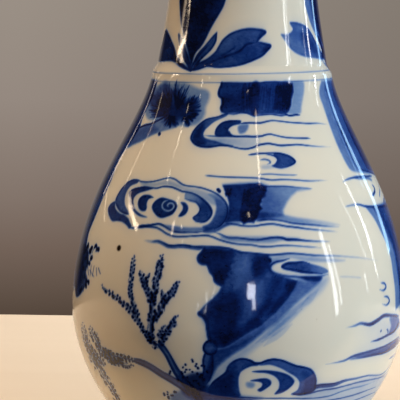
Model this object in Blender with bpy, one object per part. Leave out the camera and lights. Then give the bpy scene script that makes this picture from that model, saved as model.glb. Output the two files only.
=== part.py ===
"""A double-gourd porcelain vase, built as the potter builds it.

Five sections are thrown on the wheel, dried to leather hardness, trimmed, and luted one on
top of the other with liquid clay, called slip. Each section and each ring of slip is one
object here. The vase stands on its foot ring at the origin, with +Z up.
"""

import math

import bmesh
import bpy
import numpy as np
from mathutils import Vector
from mathutils.geometry import interpolate_bezier

MM = 0.001

# Foot: a ring trimmed from the thick bottom, round a recessed base.
FOOT_RADIUS = 53.0 * MM
FOOT_HEIGHT = 5.0 * MM
FOOT_TAPER = 0.8 * MM
FOOT_RING_WIDTH = 5.0 * MM
FOOT_EDGE = 0.7 * MM
BASE_RECESS = 4.6 * MM
BASE_DOME = 0.8 * MM
FLOOR_THICKNESS = 5.5 * MM

# Outer radii from the widest part of the lower bulb up to the lip.
BELLY_RADIUS = 88.0 * MM
JOINT_RADIUS = 46.9 * MM
LEDGE_DEPTH = 2.7 * MM
WAIST_RADIUS = 37.3 * MM
UPPER_BELLY_RADIUS = 54.0 * MM
NECK_RADIUS = 17.5 * MM
LIP_RADIUS = 21.0 * MM

# Rises from each of these places to the next. They add up to the height of the vase.
BELLY_RISE = 65.0 * MM
SHOULDER_RISE = 124.0 * MM
LEDGE_RISE = 5.5 * MM
WAIST_RISE = 54.5 * MM
UPPER_BELLY_RISE = 48.0 * MM
NECK_RISE = 52.0 * MM
LIP_RISE = 26.0 * MM

# How far each bend reaches, as (outward, upward) from its place to its curve handle.
FOOT_FLARE = (19.5 * MM, 10.0 * MM)
BELLY_BEND_BELOW = 21.0 * MM
BELLY_BEND_ABOVE = 60.0 * MM
SHOULDER_END = (6.2 * MM, -30.0 * MM)
WAIST_START = (-2.6 * MM, 16.0 * MM)
WAIST_BEND_BELOW = 18.0 * MM
WAIST_BEND_ABOVE = 27.0 * MM
UPPER_BELLY_BEND_BELOW = 23.0 * MM
UPPER_BELLY_BEND_ABOVE = 27.0 * MM
NECK_BEND_BELOW = 25.0 * MM
NECK_BEND_ABOVE = 10.0 * MM
LIP_FLARE = (-2.6 * MM, -8.0 * MM)

# The wall thins as it rises.
WALL_AT_FOOT = 5.4 * MM
WALL_AT_JOINT = 4.6 * MM
WALL_AT_MOUTH = 3.2 * MM

# Slip: a web between two sections, and the bead wiped over the seam inside.
SLIP_THICKNESS = 1.2 * MM
SLIP_CLEARANCE = 0.3 * MM
BEAD_WIDTH = 7.0 * MM
BEAD_THICKNESS = 1.3 * MM
NECK_SEAM_DROP = 9.0 * MM

# Fineness of the faceted solids.
SEGMENTS = 56
LIP_SEGMENTS = 5
RING_SPACING = 11.0 * MM
MERGE_DISTANCE = 0.01 * MM

GLAZE_COLOUR = (0.72, 0.71, 0.62)
GLAZE_ROUGHNESS = 0.12
SLIP_COLOUR = (0.62, 0.53, 0.40)
SLIP_ROUGHNESS = 0.85

FOOT_TOP = FOOT_HEIGHT
BELLY = FOOT_TOP + BELLY_RISE
JOINT = BELLY + SHOULDER_RISE
LEDGE = JOINT + LEDGE_RISE
WAIST = LEDGE + WAIST_RISE
UPPER_BELLY = WAIST + UPPER_BELLY_RISE
NECK = UPPER_BELLY + NECK_RISE
LIP = NECK + LIP_RISE
FLOOR = BASE_RECESS + FLOOR_THICKNESS

BELLY_SEAM = BELLY
WAIST_SEAM = JOINT + LEDGE_RISE / 2
UPPER_SEAM = UPPER_BELLY
NECK_SEAM = NECK - NECK_SEAM_DROP


def handle(radius, height, reach):
    """The curve handle that lies reach = (outward, upward) from a place on the outline."""
    return Vector((radius + reach[0], height + reach[1]))


def outline():
    """The outer wall from the top of the foot to the lip, as (radius, height) points."""
    ledge_radius = JOINT_RADIUS - LEDGE_DEPTH
    spans = [
        (
            (FOOT_RADIUS, FOOT_TOP, FOOT_FLARE),
            (BELLY_RADIUS, BELLY, (0, -BELLY_BEND_BELOW)),
        ),
        (
            (BELLY_RADIUS, BELLY, (0, BELLY_BEND_ABOVE)),
            (JOINT_RADIUS, JOINT, SHOULDER_END),
        ),
        (
            (ledge_radius, LEDGE, WAIST_START),
            (WAIST_RADIUS, WAIST, (0, -WAIST_BEND_BELOW)),
        ),
        (
            (WAIST_RADIUS, WAIST, (0, WAIST_BEND_ABOVE)),
            (UPPER_BELLY_RADIUS, UPPER_BELLY, (0, -UPPER_BELLY_BEND_BELOW)),
        ),
        (
            (UPPER_BELLY_RADIUS, UPPER_BELLY, (0, UPPER_BELLY_BEND_ABOVE)),
            (NECK_RADIUS, NECK, (0, -NECK_BEND_BELOW)),
        ),
        (
            (NECK_RADIUS, NECK, (0, NECK_BEND_ABOVE)),
            (LIP_RADIUS, LIP, LIP_FLARE),
        ),
    ]
    points = []
    for start, end in spans:
        place, next_place = Vector(start[:2]), Vector(end[:2])
        rings = math.ceil((next_place - place).length / RING_SPACING) + 1
        curve = interpolate_bezier(
            place, handle(*start), handle(*end), next_place, max(rings, 2)
        )
        joined = bool(points) and (points[-1] - place).length < MM / 100
        points += curve[1:] if joined else curve
    return np.array(points)


def offset_inward(points):
    """The inner wall: each outer point moved square to the wall by the wall's thickness."""
    along = np.gradient(points, axis=0)
    length = np.hypot(along[:, 0], along[:, 1])
    thickness = np.interp(
        points[:, 1],
        (FOOT_TOP, JOINT, LIP),
        (WALL_AT_FOOT, WALL_AT_JOINT, WALL_AT_MOUTH),
    )
    inward = np.stack((-along[:, 1], along[:, 0]), axis=1) / length[:, None]
    return points + inward * thickness[:, None]


OUTER = outline()
INNER = offset_inward(OUTER)


def radius_on(side, height):
    """The wall's radius at a height, on its OUTER or INNER side."""
    return float(np.interp(height, side[:, 1], side[:, 0]))


def wall(side, low, high):
    """The points up one side of the wall from one height to another."""
    between = [(r, z) for r, z in side.tolist() if low + MM / 2 < z < high - MM / 2]
    return [(radius_on(side, low), low), *between, (radius_on(side, high), high)]


def turned(name, profile, material, closed=True):
    """A solid turned round the Z axis. The profile runs down its outer side first."""
    mesh = bpy.data.meshes.new(name)
    shape = bmesh.new()
    points = [shape.verts.new((radius, 0, height)) for radius, height in profile]
    for first, second in zip(points, points[1:]):
        shape.edges.new((first, second))
    if closed:
        shape.edges.new((points[-1], points[0]))
    shape.to_mesh(mesh)
    shape.free()

    solid = bpy.data.objects.new(name, mesh)
    bpy.context.collection.objects.link(solid)
    screw = solid.modifiers.new("turn", "SCREW")
    screw.axis = "Z"
    screw.steps = SEGMENTS
    screw.render_steps = SEGMENTS
    screw.use_merge_vertices = True
    screw.merge_threshold = MERGE_DISTANCE
    screw.use_smooth_shade = True
    mesh.materials.append(material)
    return solid


def section(name, seam_below, seam_above, material):
    """A thrown section between two seams, open at both ends and cut flat at each seam."""
    gap = SLIP_THICKNESS / 2 + SLIP_CLEARANCE
    low = seam_below + gap
    high = seam_above - gap
    outside = wall(OUTER, low, high)[::-1]
    inside = wall(INNER, low, high)
    return turned(name, outside + inside, material)


def base_section(name, seam_above, material):
    """The lowest section: the foot ring, the recessed base and the bowl above it."""
    high = seam_above - SLIP_THICKNESS / 2 - SLIP_CLEARANCE
    ring_outside = FOOT_RADIUS - FOOT_TAPER
    ring_inside = ring_outside - FOOT_RING_WIDTH
    outside = wall(OUTER, FOOT_TOP, high)[::-1]
    foot = [
        (ring_outside, FOOT_EDGE),
        (ring_outside - FOOT_EDGE, 0),
        (ring_inside + FOOT_EDGE, 0),
        (ring_inside, FOOT_EDGE),
        (ring_inside - FOOT_TAPER, BASE_RECESS),
        (0, BASE_RECESS + BASE_DOME),
    ]
    inside = [(0, FLOOR), *wall(INNER, FLOOR, high)]
    return turned(name, inside + outside + foot, material, closed=False)


def mouth_section(name, seam_below, material):
    """The neck and its lip, rounded over from the outer wall to the inner one."""
    low = seam_below + SLIP_THICKNESS / 2 + SLIP_CLEARANCE
    lip_radius = WALL_AT_MOUTH / 2
    lip_centre = (LIP_RADIUS - lip_radius, LIP - lip_radius)
    outside = wall(OUTER, low, lip_centre[1])
    inside = wall(INNER, low, lip_centre[1] - lip_radius / 2)
    arc = []
    for step in range(1, LIP_SEGMENTS):
        angle = math.pi * step / LIP_SEGMENTS
        arc.append(
            (
                lip_centre[0] + lip_radius * math.cos(angle),
                lip_centre[1] + lip_radius * math.sin(angle),
            )
        )
    return turned(name, outside[::-1] + inside + arc[::-1], material)


def slip_ring(name, seam, material):
    """The slip that joins two sections: a thin web in the wall and a wiped bead inside."""
    web = SLIP_THICKNESS / 2
    reach = BEAD_WIDTH / 2

    def clear_of_wall(low, high):
        return [(radius - SLIP_CLEARANCE, height) for radius, height in wall(INNER, low, high)]

    bead_front = radius_on(INNER, seam) - SLIP_CLEARANCE - BEAD_THICKNESS
    profile = [
        (radius_on(OUTER, seam + web), seam + web),
        (radius_on(OUTER, seam - web), seam - web),
        *clear_of_wall(seam - reach, seam - web)[::-1],
        (bead_front, seam - web),
        (bead_front, seam + web),
        *clear_of_wall(seam + web, seam + reach)[::-1],
    ]
    return turned(name, profile, material)


def painted(name, colour, roughness):
    """A non-metallic material with one colour."""
    material = bpy.data.materials.new(name)
    material.use_nodes = True
    shader = material.node_tree.nodes["Principled BSDF"]
    shader.inputs["Base Color"].default_value = (*colour, 1.0)
    shader.inputs["Roughness"].default_value = roughness
    shader.inputs["Metallic"].default_value = 0.0
    return material


def main():
    for old in list(bpy.data.objects):
        bpy.data.objects.remove(old)

    def glazed(name):
        return painted(name + "_glaze", GLAZE_COLOUR, GLAZE_ROUGHNESS)

    def unglazed(name):
        return painted(name + "_clay", SLIP_COLOUR, SLIP_ROUGHNESS)

    base_section("lower_bulb_base", BELLY_SEAM, glazed("lower_bulb_base"))
    sections = (
        ("lower_bulb_shoulder", BELLY_SEAM, WAIST_SEAM),
        ("waist_and_upper_bulb", WAIST_SEAM, UPPER_SEAM),
        ("upper_bulb_shoulder", UPPER_SEAM, NECK_SEAM),
    )
    for name, seam_below, seam_above in sections:
        section(name, seam_below, seam_above, glazed(name))
    mouth_section("neck_and_lip", NECK_SEAM, glazed("neck_and_lip"))

    seams = (
        ("slip_joint_belly", BELLY_SEAM),
        ("slip_joint_waist", WAIST_SEAM),
        ("slip_joint_upper_bulb", UPPER_SEAM),
        ("slip_joint_neck", NECK_SEAM),
    )
    for name, seam in seams:
        slip_ring(name, seam, unglazed(name))


main()
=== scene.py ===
import math

import bpy
import numpy as np
from mathutils import Matrix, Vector
from mathutils.geometry import interpolate_bezier


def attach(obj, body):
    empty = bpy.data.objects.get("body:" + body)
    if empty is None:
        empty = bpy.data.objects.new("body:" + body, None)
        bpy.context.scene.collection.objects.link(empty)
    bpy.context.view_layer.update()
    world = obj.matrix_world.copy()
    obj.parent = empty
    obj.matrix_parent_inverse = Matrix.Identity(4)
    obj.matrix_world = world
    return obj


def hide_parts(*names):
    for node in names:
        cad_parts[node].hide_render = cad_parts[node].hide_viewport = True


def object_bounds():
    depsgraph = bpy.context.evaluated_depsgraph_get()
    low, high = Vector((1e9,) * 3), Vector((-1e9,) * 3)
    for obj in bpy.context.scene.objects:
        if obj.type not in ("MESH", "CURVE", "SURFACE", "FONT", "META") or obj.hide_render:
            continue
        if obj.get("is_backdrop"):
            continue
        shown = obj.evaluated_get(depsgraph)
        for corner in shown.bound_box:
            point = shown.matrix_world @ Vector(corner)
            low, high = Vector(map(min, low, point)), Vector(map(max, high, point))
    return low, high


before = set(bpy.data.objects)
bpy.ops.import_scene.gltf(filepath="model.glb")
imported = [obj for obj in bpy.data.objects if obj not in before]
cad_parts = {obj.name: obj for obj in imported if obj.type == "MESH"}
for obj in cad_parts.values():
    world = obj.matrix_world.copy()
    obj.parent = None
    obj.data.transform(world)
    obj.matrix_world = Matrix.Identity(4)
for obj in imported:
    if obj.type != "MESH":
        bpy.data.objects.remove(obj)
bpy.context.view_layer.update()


# The view. The photograph looks a little down on the lower bulb through a long lens, and the vase
# leans slightly in its frame. The painting is laid out later in this same view.
MM = 0.001
PICTURE_SIZE = 400
VIEW_ANGLE = math.radians(10.09)
EYE = np.array([-21.2, -1190.0, 241.0])
LOOK_DOWN = math.radians(5.5)
LEAN = math.radians(0.8)

level = np.array([1.0, 0.0, 0.0])
ahead = np.array([0.0, math.cos(LOOK_DOWN), -math.sin(LOOK_DOWN)])
above = np.cross(level, ahead)
right = level * math.cos(LEAN) + above * math.sin(LEAN)
up = above * math.cos(LEAN) - level * math.sin(LEAN)

lens = bpy.data.cameras.new("view")
lens.sensor_width = 36.0
lens.lens = lens.sensor_width / 2 / math.tan(VIEW_ANGLE / 2)
lens.clip_start = 0.05
camera = bpy.data.objects.new("view", lens)
bpy.context.collection.objects.link(camera)
stand = np.eye(4)
stand[:3, :] = np.column_stack((right, up, -ahead, EYE * MM))
camera.matrix_world = Matrix(stand.tolist())
scene = bpy.context.scene
scene.camera = camera
scene.view_settings.view_transform = "Standard"


# The table and the room. The vase stands near the front of a pale, smooth table top that ends a
# little way behind it. Beyond is a plain grey wall, darker towards the table. The room on the
# viewer's side is dark, which keeps the cobalt deep where the glaze mirrors it.
TABLE_NEAR, TABLE_FAR = -0.098, 0.43
TABLE_REACH = 3.0
TABLE_COLOUR = (0.84, 0.71, 0.54)
TABLE_SHADE = (0.81, 0.68, 0.51)
WALL_SHADES = (
    (-0.147, (0.080, 0.056, 0.041)),
    (-0.118, (0.150, 0.108, 0.086)),
    (-0.096, (0.196, 0.152, 0.127)),
    (-0.052, (0.262, 0.218, 0.188)),
    (0.0, (0.285, 0.245, 0.208)),
)
WALL_FADE, WALL_DIMMEST, WALL_BRIGHTEST = 1.9, 0.78, 1.15
ROOM_DARK, ROOM_END = 0.05, (0.82, 1.0)
FILL_LIGHT = (0.02, 0.02, 0.02, 1.0)


class Shade:
    """A value or colour that changes over a surface. Sums and products of it add their nodes."""

    def __init__(self, tree, socket=None):
        self.tree = tree
        self.socket = socket

    def node(self, kind, settings=None, sockets=None, output=0):
        made = self.tree.nodes.new(kind)
        for name, value in (settings or {}).items():
            if name == "stops":
                ramp = made.color_ramp.elements
                while len(ramp) < len(value):
                    ramp.new(1.0)
                for stop, (place, colour) in zip(ramp, value):
                    stop.position = place
                    stop.color = (*colour, 1.0)
            else:
                setattr(made, name, value)
        for name, value in (sockets or {}).items():
            if isinstance(value, Shade):
                self.tree.links.new(value.socket, made.inputs[name])
            else:
                made.inputs[name].default_value = value
        return Shade(self.tree, made.outputs[output]) if made.outputs else None

    def feed(self, socket):
        self.tree.links.new(self.socket, socket)

    def math(self, operation, first, second=0.0):
        return self.node("ShaderNodeMath", {"operation": operation}, {0: first, 1: second})

    def __add__(self, other):
        return self.math("ADD", self, other)

    def __sub__(self, other):
        return self.math("SUBTRACT", self, other)

    def __rsub__(self, other):
        return self.math("SUBTRACT", other, self)

    def __mul__(self, other):
        return self.math("MULTIPLY", self, other)

    __radd__ = __add__
    __rmul__ = __mul__

    def step(self, low, high):
        """0 at low, 1 at high, and a smooth step between them."""
        ease = {"interpolation_type": "SMOOTHSTEP"}
        limits = {"Value": self, "From Min": low, "From Max": high}
        return self.node("ShaderNodeMapRange", ease, limits)

    def tinted(self, share, colour, blend="MIX"):
        """This colour with a share of another over it."""
        kind = {"data_type": "RGBA", "blend_type": blend}
        return self.node("ShaderNodeMix", kind, {0: share, 6: self, 7: colour}, output=2)


def new_material(name, roughness):
    material = bpy.data.materials.new(name)
    material.use_nodes = True
    shader = material.node_tree.nodes["Principled BSDF"]
    shader.inputs["Roughness"].default_value = roughness
    return material, shader.inputs, Shade(material.node_tree)


table_top = bpy.data.meshes.new("table")
corners = [(x, y, 0) for y in (TABLE_NEAR, TABLE_FAR) for x in (-TABLE_REACH, TABLE_REACH)]
table_top.from_pydata(corners, [], [(0, 1, 3, 2)])
table = bpy.data.objects.new("table", table_top)
bpy.context.collection.objects.link(table)
table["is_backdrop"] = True
table_finish, table_inputs, wood = new_material("table_top", 0.5)
cloudy = wood.node("ShaderNodeTexNoise", {}, {"Scale": 9.0, "Detail": 3.0, "Distortion": 0.8})
table_stops = {"stops": ((0.3, TABLE_COLOUR), (0.75, TABLE_SHADE))}
cloudy.node("ShaderNodeValToRGB", table_stops, {0: cloudy}).feed(table_inputs["Base Color"])
table_top.materials.append(table_finish)

room = bpy.data.worlds.new("room")
scene.world = room
room.use_nodes = True
room.node_tree.nodes.clear()
air = Shade(room.node_tree)
facing = air.node("ShaderNodeTexCoord", output="Generated")
across = facing.node("ShaderNodeSeparateXYZ", {}, {0: facing}, output="X")
height = facing.node("ShaderNodeSeparateXYZ", {}, {0: facing}, output="Z")
depth = facing.node("ShaderNodeSeparateXYZ", {}, {0: facing}, output="Y")
lowest = WALL_SHADES[0][0]
stops = {"stops": [(1 - place / lowest, colour) for place, colour in WALL_SHADES]}
wall_colour = height.node("ShaderNodeValToRGB", stops, {0: (height - lowest) * (-1 / lowest)})
side_light = 1.0 - WALL_FADE * across
limits = {0: side_light, 1: WALL_DIMMEST, 2: WALL_BRIGHTEST}
side_light = side_light.node("ShaderNodeClamp", {}, limits)
side_light = side_light * (ROOM_DARK + (1 - ROOM_DARK) * depth.step(*ROOM_END))
scaled = {"operation": "SCALE"}
wall_colour = wall_colour.node("ShaderNodeVectorMath", scaled, {0: wall_colour, "Scale": side_light})
ray = "ShaderNodeLightPath"
seen = air.node(ray, output="Is Camera Ray") + air.node(ray, output="Is Glossy Ray")
seen = seen + air.node(ray, output="Is Transmission Ray")
fill = air.node("ShaderNodeBackground", {}, {"Color": FILL_LIGHT})
wall = air.node("ShaderNodeBackground", {}, {"Color": wall_colour})
either = air.node("ShaderNodeMixShader", {}, {0: seen, 1: fill, 2: wall})
air.node("ShaderNodeOutputWorld", {}, {"Surface": either})


# The lights. Broad soft ones do the lighting: cool daylight from the right, lamplight from above
# and from the left, and one for the table at the back. The others are the windows, the lamps and
# the lamplit end of the room, and only shine in the glaze.
VASE_MIDDLE = (0.0, 0.0, 0.13)
TABLE_BACK = (0.2, 0.3, 0.0)


def round_at(bearing, distance, height):
    """A place at so many degrees round from the front towards the right."""
    turn = math.radians(bearing)
    return np.array([distance * math.sin(turn), -distance * math.cos(turn), height])


def light(name, place, out, long_way, size, power, colour):
    """A rectangular light facing against out, with its length as near as can be to long_way."""
    lamp = bpy.data.lights.new(name, "AREA")
    lamp.shape = "RECTANGLE"
    lamp.size, lamp.size_y = size
    lamp.energy = power
    lamp.color = colour
    held = bpy.data.objects.new(name, lamp)
    bpy.context.collection.objects.link(held)
    side = np.cross(long_way, out)
    axes = [axis / np.linalg.norm(axis) for axis in (side, np.cross(out, side), out)]
    stand = np.eye(4)
    stand[:3, :] = np.column_stack((*axes, place))
    held.matrix_world = Matrix(stand.tolist())
    return held


def soft_light(name, place, aim, size, power, colour):
    held = light(name, place, place - aim, (0, 0, 1), size, power, colour)
    held.visible_glossy = False


def shine(name, top, foot, width, brightness, colour, distance=2.0, aim=None, cone=180):
    """A light between two (bearing, height) ends, seen only where the glaze mirrors it. It faces
    the axis, or shines in a cone of so many degrees towards aim."""
    top, foot = (round_at(bearing, distance, height) for bearing, height in (top, foot))
    length = math.dist(top, foot)
    power = brightness * math.pi * width * length
    place = (top + foot) / 2
    long_way = top - foot
    out = place * (1, 1, 0) if aim is None else place - aim
    out = out - long_way * (out @ long_way) / (long_way @ long_way)
    held = light(name, place, out, long_way, (width, length), power, colour)
    held.data.spread = math.radians(cone)
    held.visible_diffuse = False


BROAD = (1.0, 1.0)
for name, (bearing, distance, height), power, colour in (
    ("window_light", (50, 2.0, 0.3), 29, (0.86, 0.93, 1.0)),
    ("side_daylight", (80, 2.0, 0.3), 10.5, (0.41, 0.72, 1.0)),
    ("ceiling_light", (-60, 0.4, 2.1), 29.5, (1.0, 0.91, 0.79)),
    ("left_lamplight", (-100, 1.6, 1.2), 11, (1.0, 0.54, 0.28)),
    ("front_lamplight", (20, 1.6, 1.2), 6.5, (1.0, 0.48, 0.10)),
):
    soft_light(name, round_at(bearing, distance, height), VASE_MIDDLE, BROAD, power, colour)
soft_light("back_daylight", round_at(148, 0.94, 0.6), TABLE_BACK, (0.6, 0.3), 7.6, (0.85, 0.91, 1.0))

WHITE, BLUE, LILAC = (0.95, 0.98, 1.0), (0.42, 0.72, 1.0), (0.86, 0.88, 1.0)
WARM, AMBER, ORANGE = (1.0, 0.77, 0.54), (1.0, 0.83, 0.62), (1.0, 0.58, 0.15)
LEFT_OF_BELLY, LEFT_OF_WAIST = round_at(-48, 0.078, 0.105), round_at(-46, 0.046, 0.212)
for seen_light in (
    ("right_window_pane", (62.6, 1.02), (67.6, -0.05), 0.10, 11, WHITE),
    ("right_window_post", (67.4, 0.80), (71.2, 0.06), 0.05, 9, WHITE),
    ("right_tube", (104.3, 1.12), (108.3, 0.17), 0.026, 13, WHITE),
    ("right_tube_end", (105.6, 0.87), (108.2, 0.42), 0.06, 14, WHITE),
    ("right_tube_edge", (92.4, 1.12), (99.5, 0.38), 0.018, 9, WHITE),
    ("far_window_pane", (132.5, 0.80), (131.8, 0.20), 0.17, 5.2, BLUE),
    ("far_window_post", (126.6, 0.93), (124.4, 0.70), 0.03, 5, BLUE),
    ("low_window", (94.8, 0.29), (96.2, 0.10), 0.03, 9, WHITE),
    ("front_window", (6.8, 0.462), (6.8, 0.234), 0.19, 17, LILAC),
    ("front_window_foot", (8.7, 0.234), (8.7, 0.08), 0.085, 13, LILAC),
    ("ceiling_lamp", (18.4, 2.6), (18.4, 2.13), 0.05, 14, AMBER),
    ("ceiling_glint", (5.8, 1.59), (7.3, 1.50), 0.03, 14, AMBER),
    ("side_pane_1", (-17.3, 0.417), (-19.1, 0.203), 0.014, 8, WHITE),
    ("side_pane_2", (-22.1, 0.324), (-22.8, 0.03), 0.02, 9, WHITE),
    ("side_pane_3", (-27.0, 0.149), (-27.5, 0.03), 0.014, 7, WHITE),
    ("left_lamp", (-101.5, 0.302), (-79.5, 0.262), 0.014, 1.5, WARM, 0.45, LEFT_OF_BELLY, 50),
    ("step_glint", (-55.5, 1.20), (-54.3, 1.0), 0.02, 14, WARM),
    ("lamplit_room", (-117.0, 1.6), (-117.0, 0.52), 1.4, 0.10, ORANGE),
    ("lamplit_corner", (-117.0, 1.4), (-117.0, 0.64), 1.0, 0.12, ORANGE),
    ("near_lamp", (-87.0, 0.305), (-100.0, 0.277), 0.007, 0.7, WARM, 0.45, LEFT_OF_WAIST, 28),
    ("left_back_lamp", (-116.0, 1.15), (-116.8, 0.85), 0.018, 7, WARM),
    ("behind_left", (-142.0, 0.66), (-143.0, 0.40), 0.03, 4, (1.0, 0.84, 0.76)),
    ("behind_left_low", (-139.5, 0.50), (-123.0, 0.497), 0.012, 4, WARM),
    ("small_lamp_1", (-53.5, 1.01), (-54.8, 1.24), 0.028, 14, AMBER),
    ("small_lamp_2", (-72.8, 1.56), (-74.3, 1.66), 0.028, 14, AMBER),
    ("small_lamp_3", (-76.6, 1.77), (-76.2, 1.83), 0.028, 14, AMBER),
    ("small_lamp_4", (-57.7, 1.54), (-56.5, 1.465), 0.028, 14, AMBER),
    ("small_lamp_5", (-47.7, 1.23), (-47.3, 1.17), 0.028, 14, AMBER),
    ("small_lamp_6", (-43.8, 1.01), (-43.4, 0.94), 0.028, 14, AMBER),
):
    shine(*seen_light)


# Lower bowl. The potter throws it thick in white porcelain clay, with the foot left solid, then
# trims the foot ring and hollows the base under it once the clay is leather hard.
FOOT_RADIUS, FOOT_TOP = 53.0, 5.0
FOOT_TAPER = 0.8
FOOT_RING_WIDTH = 5.0
FOOT_EDGE = 0.9
BASE_RECESS, BASE_DOME = 4.6, 0.8
BASE_ROUNDING = 1.2
BARE_HEIGHT = 1.6
INSIDE_FLOOR, FLOOR_ROUNDING = 10.1, 9.0
FLOOR_REACH, FLOOR_BEND = (40.0, 0.0), (-9.0, -9.0)
BELLY_RADIUS, BELLY = 88.0, 70.0
FOOT_FLARE = (19.5, 10.0)
BELLY_BEND_BELOW = (0.0, -21.0)
WALL_THICKNESS = ((FOOT_TOP, 194.0, 380.0), (5.4, 4.6, 3.2))
SLIP_HALF = 0.6
FRONT_ARC = 200.0
FINE_COLUMNS, COARSE_COLUMNS = 616, 248
ROW_STEP = 0.5
INSIDE_STEP = 4.0

front = np.linspace(-FRONT_ARC / 2, FRONT_ARC / 2, FINE_COLUMNS, endpoint=False)
back = np.linspace(FRONT_ARC / 2, 360 - FRONT_ARC / 2, COARSE_COLUMNS, endpoint=False)
fine_turns = np.radians(np.concatenate((front, back)))
half_as_fine = fine_turns[::2]
sections = []
outline = np.zeros((0, 2))


def sweep(start, start_reach, end, end_reach, count=400):
    """One curve of the potter's rib, as (radius, height) points from start to end."""
    first, last = np.array(start), np.array(end)
    handles = [(*first, 0), (*(first + start_reach), 0), (*(last + end_reach), 0), (*last, 0)]
    return np.array([tuple(p) for p in interpolate_bezier(*handles, count)])[:, :2]


def grow(curve):
    """Adds a curve to the top of the outer wall."""
    global outline
    outline = np.vstack((outline[:-1], curve)) if len(outline) else curve


def inner_wall():
    along = np.gradient(outline, axis=0)
    along /= np.hypot(*along.T)[:, None]
    thickness = np.interp(outline[:, 1], *WALL_THICKNESS)
    return outline + np.stack((-along[:, 1], along[:, 0]), axis=1) * thickness[:, None]


def lengths(points):
    """How far along a line each of its points lies."""
    return np.concatenate(([0.0], np.cumsum(np.hypot(*np.diff(points, axis=0).T))))


def spaced(points, step):
    """The same line with its points a step apart."""
    run = lengths(points)
    even = np.linspace(0, run[-1], max(2, math.ceil(run[-1] / step) + 1))
    return np.stack([np.interp(even, run, points[:, k]) for k in (0, 1)], axis=1)


def span(side, low, high, step):
    """The part of one side of the wall between two heights, with its points a step apart."""
    ends = [[np.interp(z, side[:, 1], side[:, 0]), z] for z in (low, high)]
    between = side[(side[:, 1] > low + 0.01) & (side[:, 1] < high - 0.01)]
    return spaced(np.vstack((ends[:1], between, ends[1:])), step)


def turned(name, profile, turns, closed=True, bare=None):
    """A solid turned on the wheel from a profile, which runs up its inside and down its outside.
    Faces where bare(radius, height) is true take the second material."""
    rows = [np.full(1 if r < 1e-6 else len(turns), k) for k, (r, z) in enumerate(profile)]
    starts = np.concatenate(([0], np.cumsum([len(row) for row in rows])))
    sides = len(turns)
    points = []
    for (radius, z), row in zip(profile, rows):
        spin = turns[: len(row)]
        ring = (radius * np.sin(spin), -radius * np.cos(spin), np.full(len(row), z))
        points.append(np.stack(ring, axis=1))
    corner = np.arange(sides)
    after = (corner + 1) % sides
    faces, flat, second = [], [], []
    count = len(profile)
    for k in range(count if closed else count - 1):
        n = (k + 1) % count
        low, high = starts[k], starts[n]
        if len(rows[k]) == 1:
            made = np.stack((np.full(sides, low), high + corner, high + after), axis=1)
        elif len(rows[n]) == 1:
            made = np.stack((low + after, low + corner, np.full(sides, high)), axis=1)
        else:
            made = np.stack((low + after, low + corner, high + corner, high + after), axis=1)
        faces += made.tolist()
        out, rise = np.abs(np.subtract(profile[k], profile[n]))
        flat += [bool(rise < 1e-6 and out > 2)] * sides
        middle = (np.asarray(profile[k]) + profile[n]) / 2
        second += [bare is not None and bare(*middle)] * sides
    mesh = bpy.data.meshes.new(name)
    mesh.from_pydata((np.vstack(points) * MM).tolist(), [], faces)
    cut = mesh.attributes.new("sharp_face", "BOOLEAN", "FACE")
    cut.data.foreach_set("value", flat)
    mesh.polygons.foreach_set("material_index", np.array(second, dtype=np.int32))
    piece = bpy.data.objects.new(name, mesh)
    bpy.context.collection.objects.link(piece)
    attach(piece, "root")
    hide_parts(name)
    sections.append(piece)
    return piece


def on_foot_rim(radius, z):
    return z < BARE_HEIGHT and radius > FOOT_RADIUS - FOOT_RING_WIDTH - 2 * FOOT_TAPER


grow(sweep((FOOT_RADIUS, FOOT_TOP), FOOT_FLARE, (BELLY_RADIUS, BELLY), BELLY_BEND_BELOW))
ring_outside = FOOT_RADIUS - FOOT_TAPER
ring_inside = ring_outside - FOOT_RING_WIDTH
foot = [(FOOT_RADIUS, FOOT_TOP)]
foot += [(FOOT_RADIUS - FOOT_TAPER * s, FOOT_TOP * (1 - s)) for s in (0.2, 0.4, 0.6, 0.7, 0.76)]
for edge, side, turns in ((ring_outside, -1, (0, 30, 60, 90)), (ring_inside, 1, (90, 60, 30, 0))):
    for turn in np.radians(turns):
        across, rise = FOOT_EDGE * (1 - math.cos(turn)), FOOT_EDGE * (1 - math.sin(turn))
        foot.append((edge + side * across, rise))
recess_edge = ring_inside - FOOT_TAPER
foot += [(recess_edge + FOOT_TAPER * (1 - s), BASE_RECESS * s) for s in (0.35, 0.5, 0.8)]
for turn in np.radians((0, 30, 60, 90)):
    rounded = (BASE_ROUNDING * (1 - math.cos(turn)), BASE_ROUNDING * (1 - math.sin(turn)))
    foot.append((recess_edge - rounded[0], BASE_RECESS - rounded[1]))
for share in (0.75, 0.5, 0.25, 0.0):
    foot.append((recess_edge * share, BASE_RECESS + BASE_DOME * (1 - share**2)))
floor_edge = INSIDE_FLOOR + FLOOR_ROUNDING
floor_radius = np.interp(floor_edge, inner_wall()[:, 1], inner_wall()[:, 0])
well = sweep((0, INSIDE_FLOOR), FLOOR_REACH, (floor_radius, floor_edge), FLOOR_BEND)
inside = span(inner_wall(), floor_edge, BELLY - SLIP_HALF, INSIDE_STEP)
outside = span(outline, FOOT_TOP, BELLY - SLIP_HALF, ROW_STEP)
profile = np.vstack((spaced(well, INSIDE_STEP)[:-1], inside, outside[::-1], foot[1:]))
turned("lower_bulb_base", profile, fine_turns, closed=False, bare=on_foot_rim)


# Shoulder of the lower bulb. A second thrown section, set mouth down on the bowl while both are
# leather hard. It narrows to the small step that the two ring lines mark.
JOINT_RADIUS, JOINT = 46.9, 194.0
LEDGE_RADIUS, LEDGE = 44.2, 199.5
BELLY_BEND_ABOVE = (0.0, 60.0)
SHOULDER_END = (6.2, -30.0)
STEP_START, STEP_END = (-0.3, 1.4), (0.3, -1.6)
WAIST_SEAM = (JOINT + LEDGE) / 2

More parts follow.
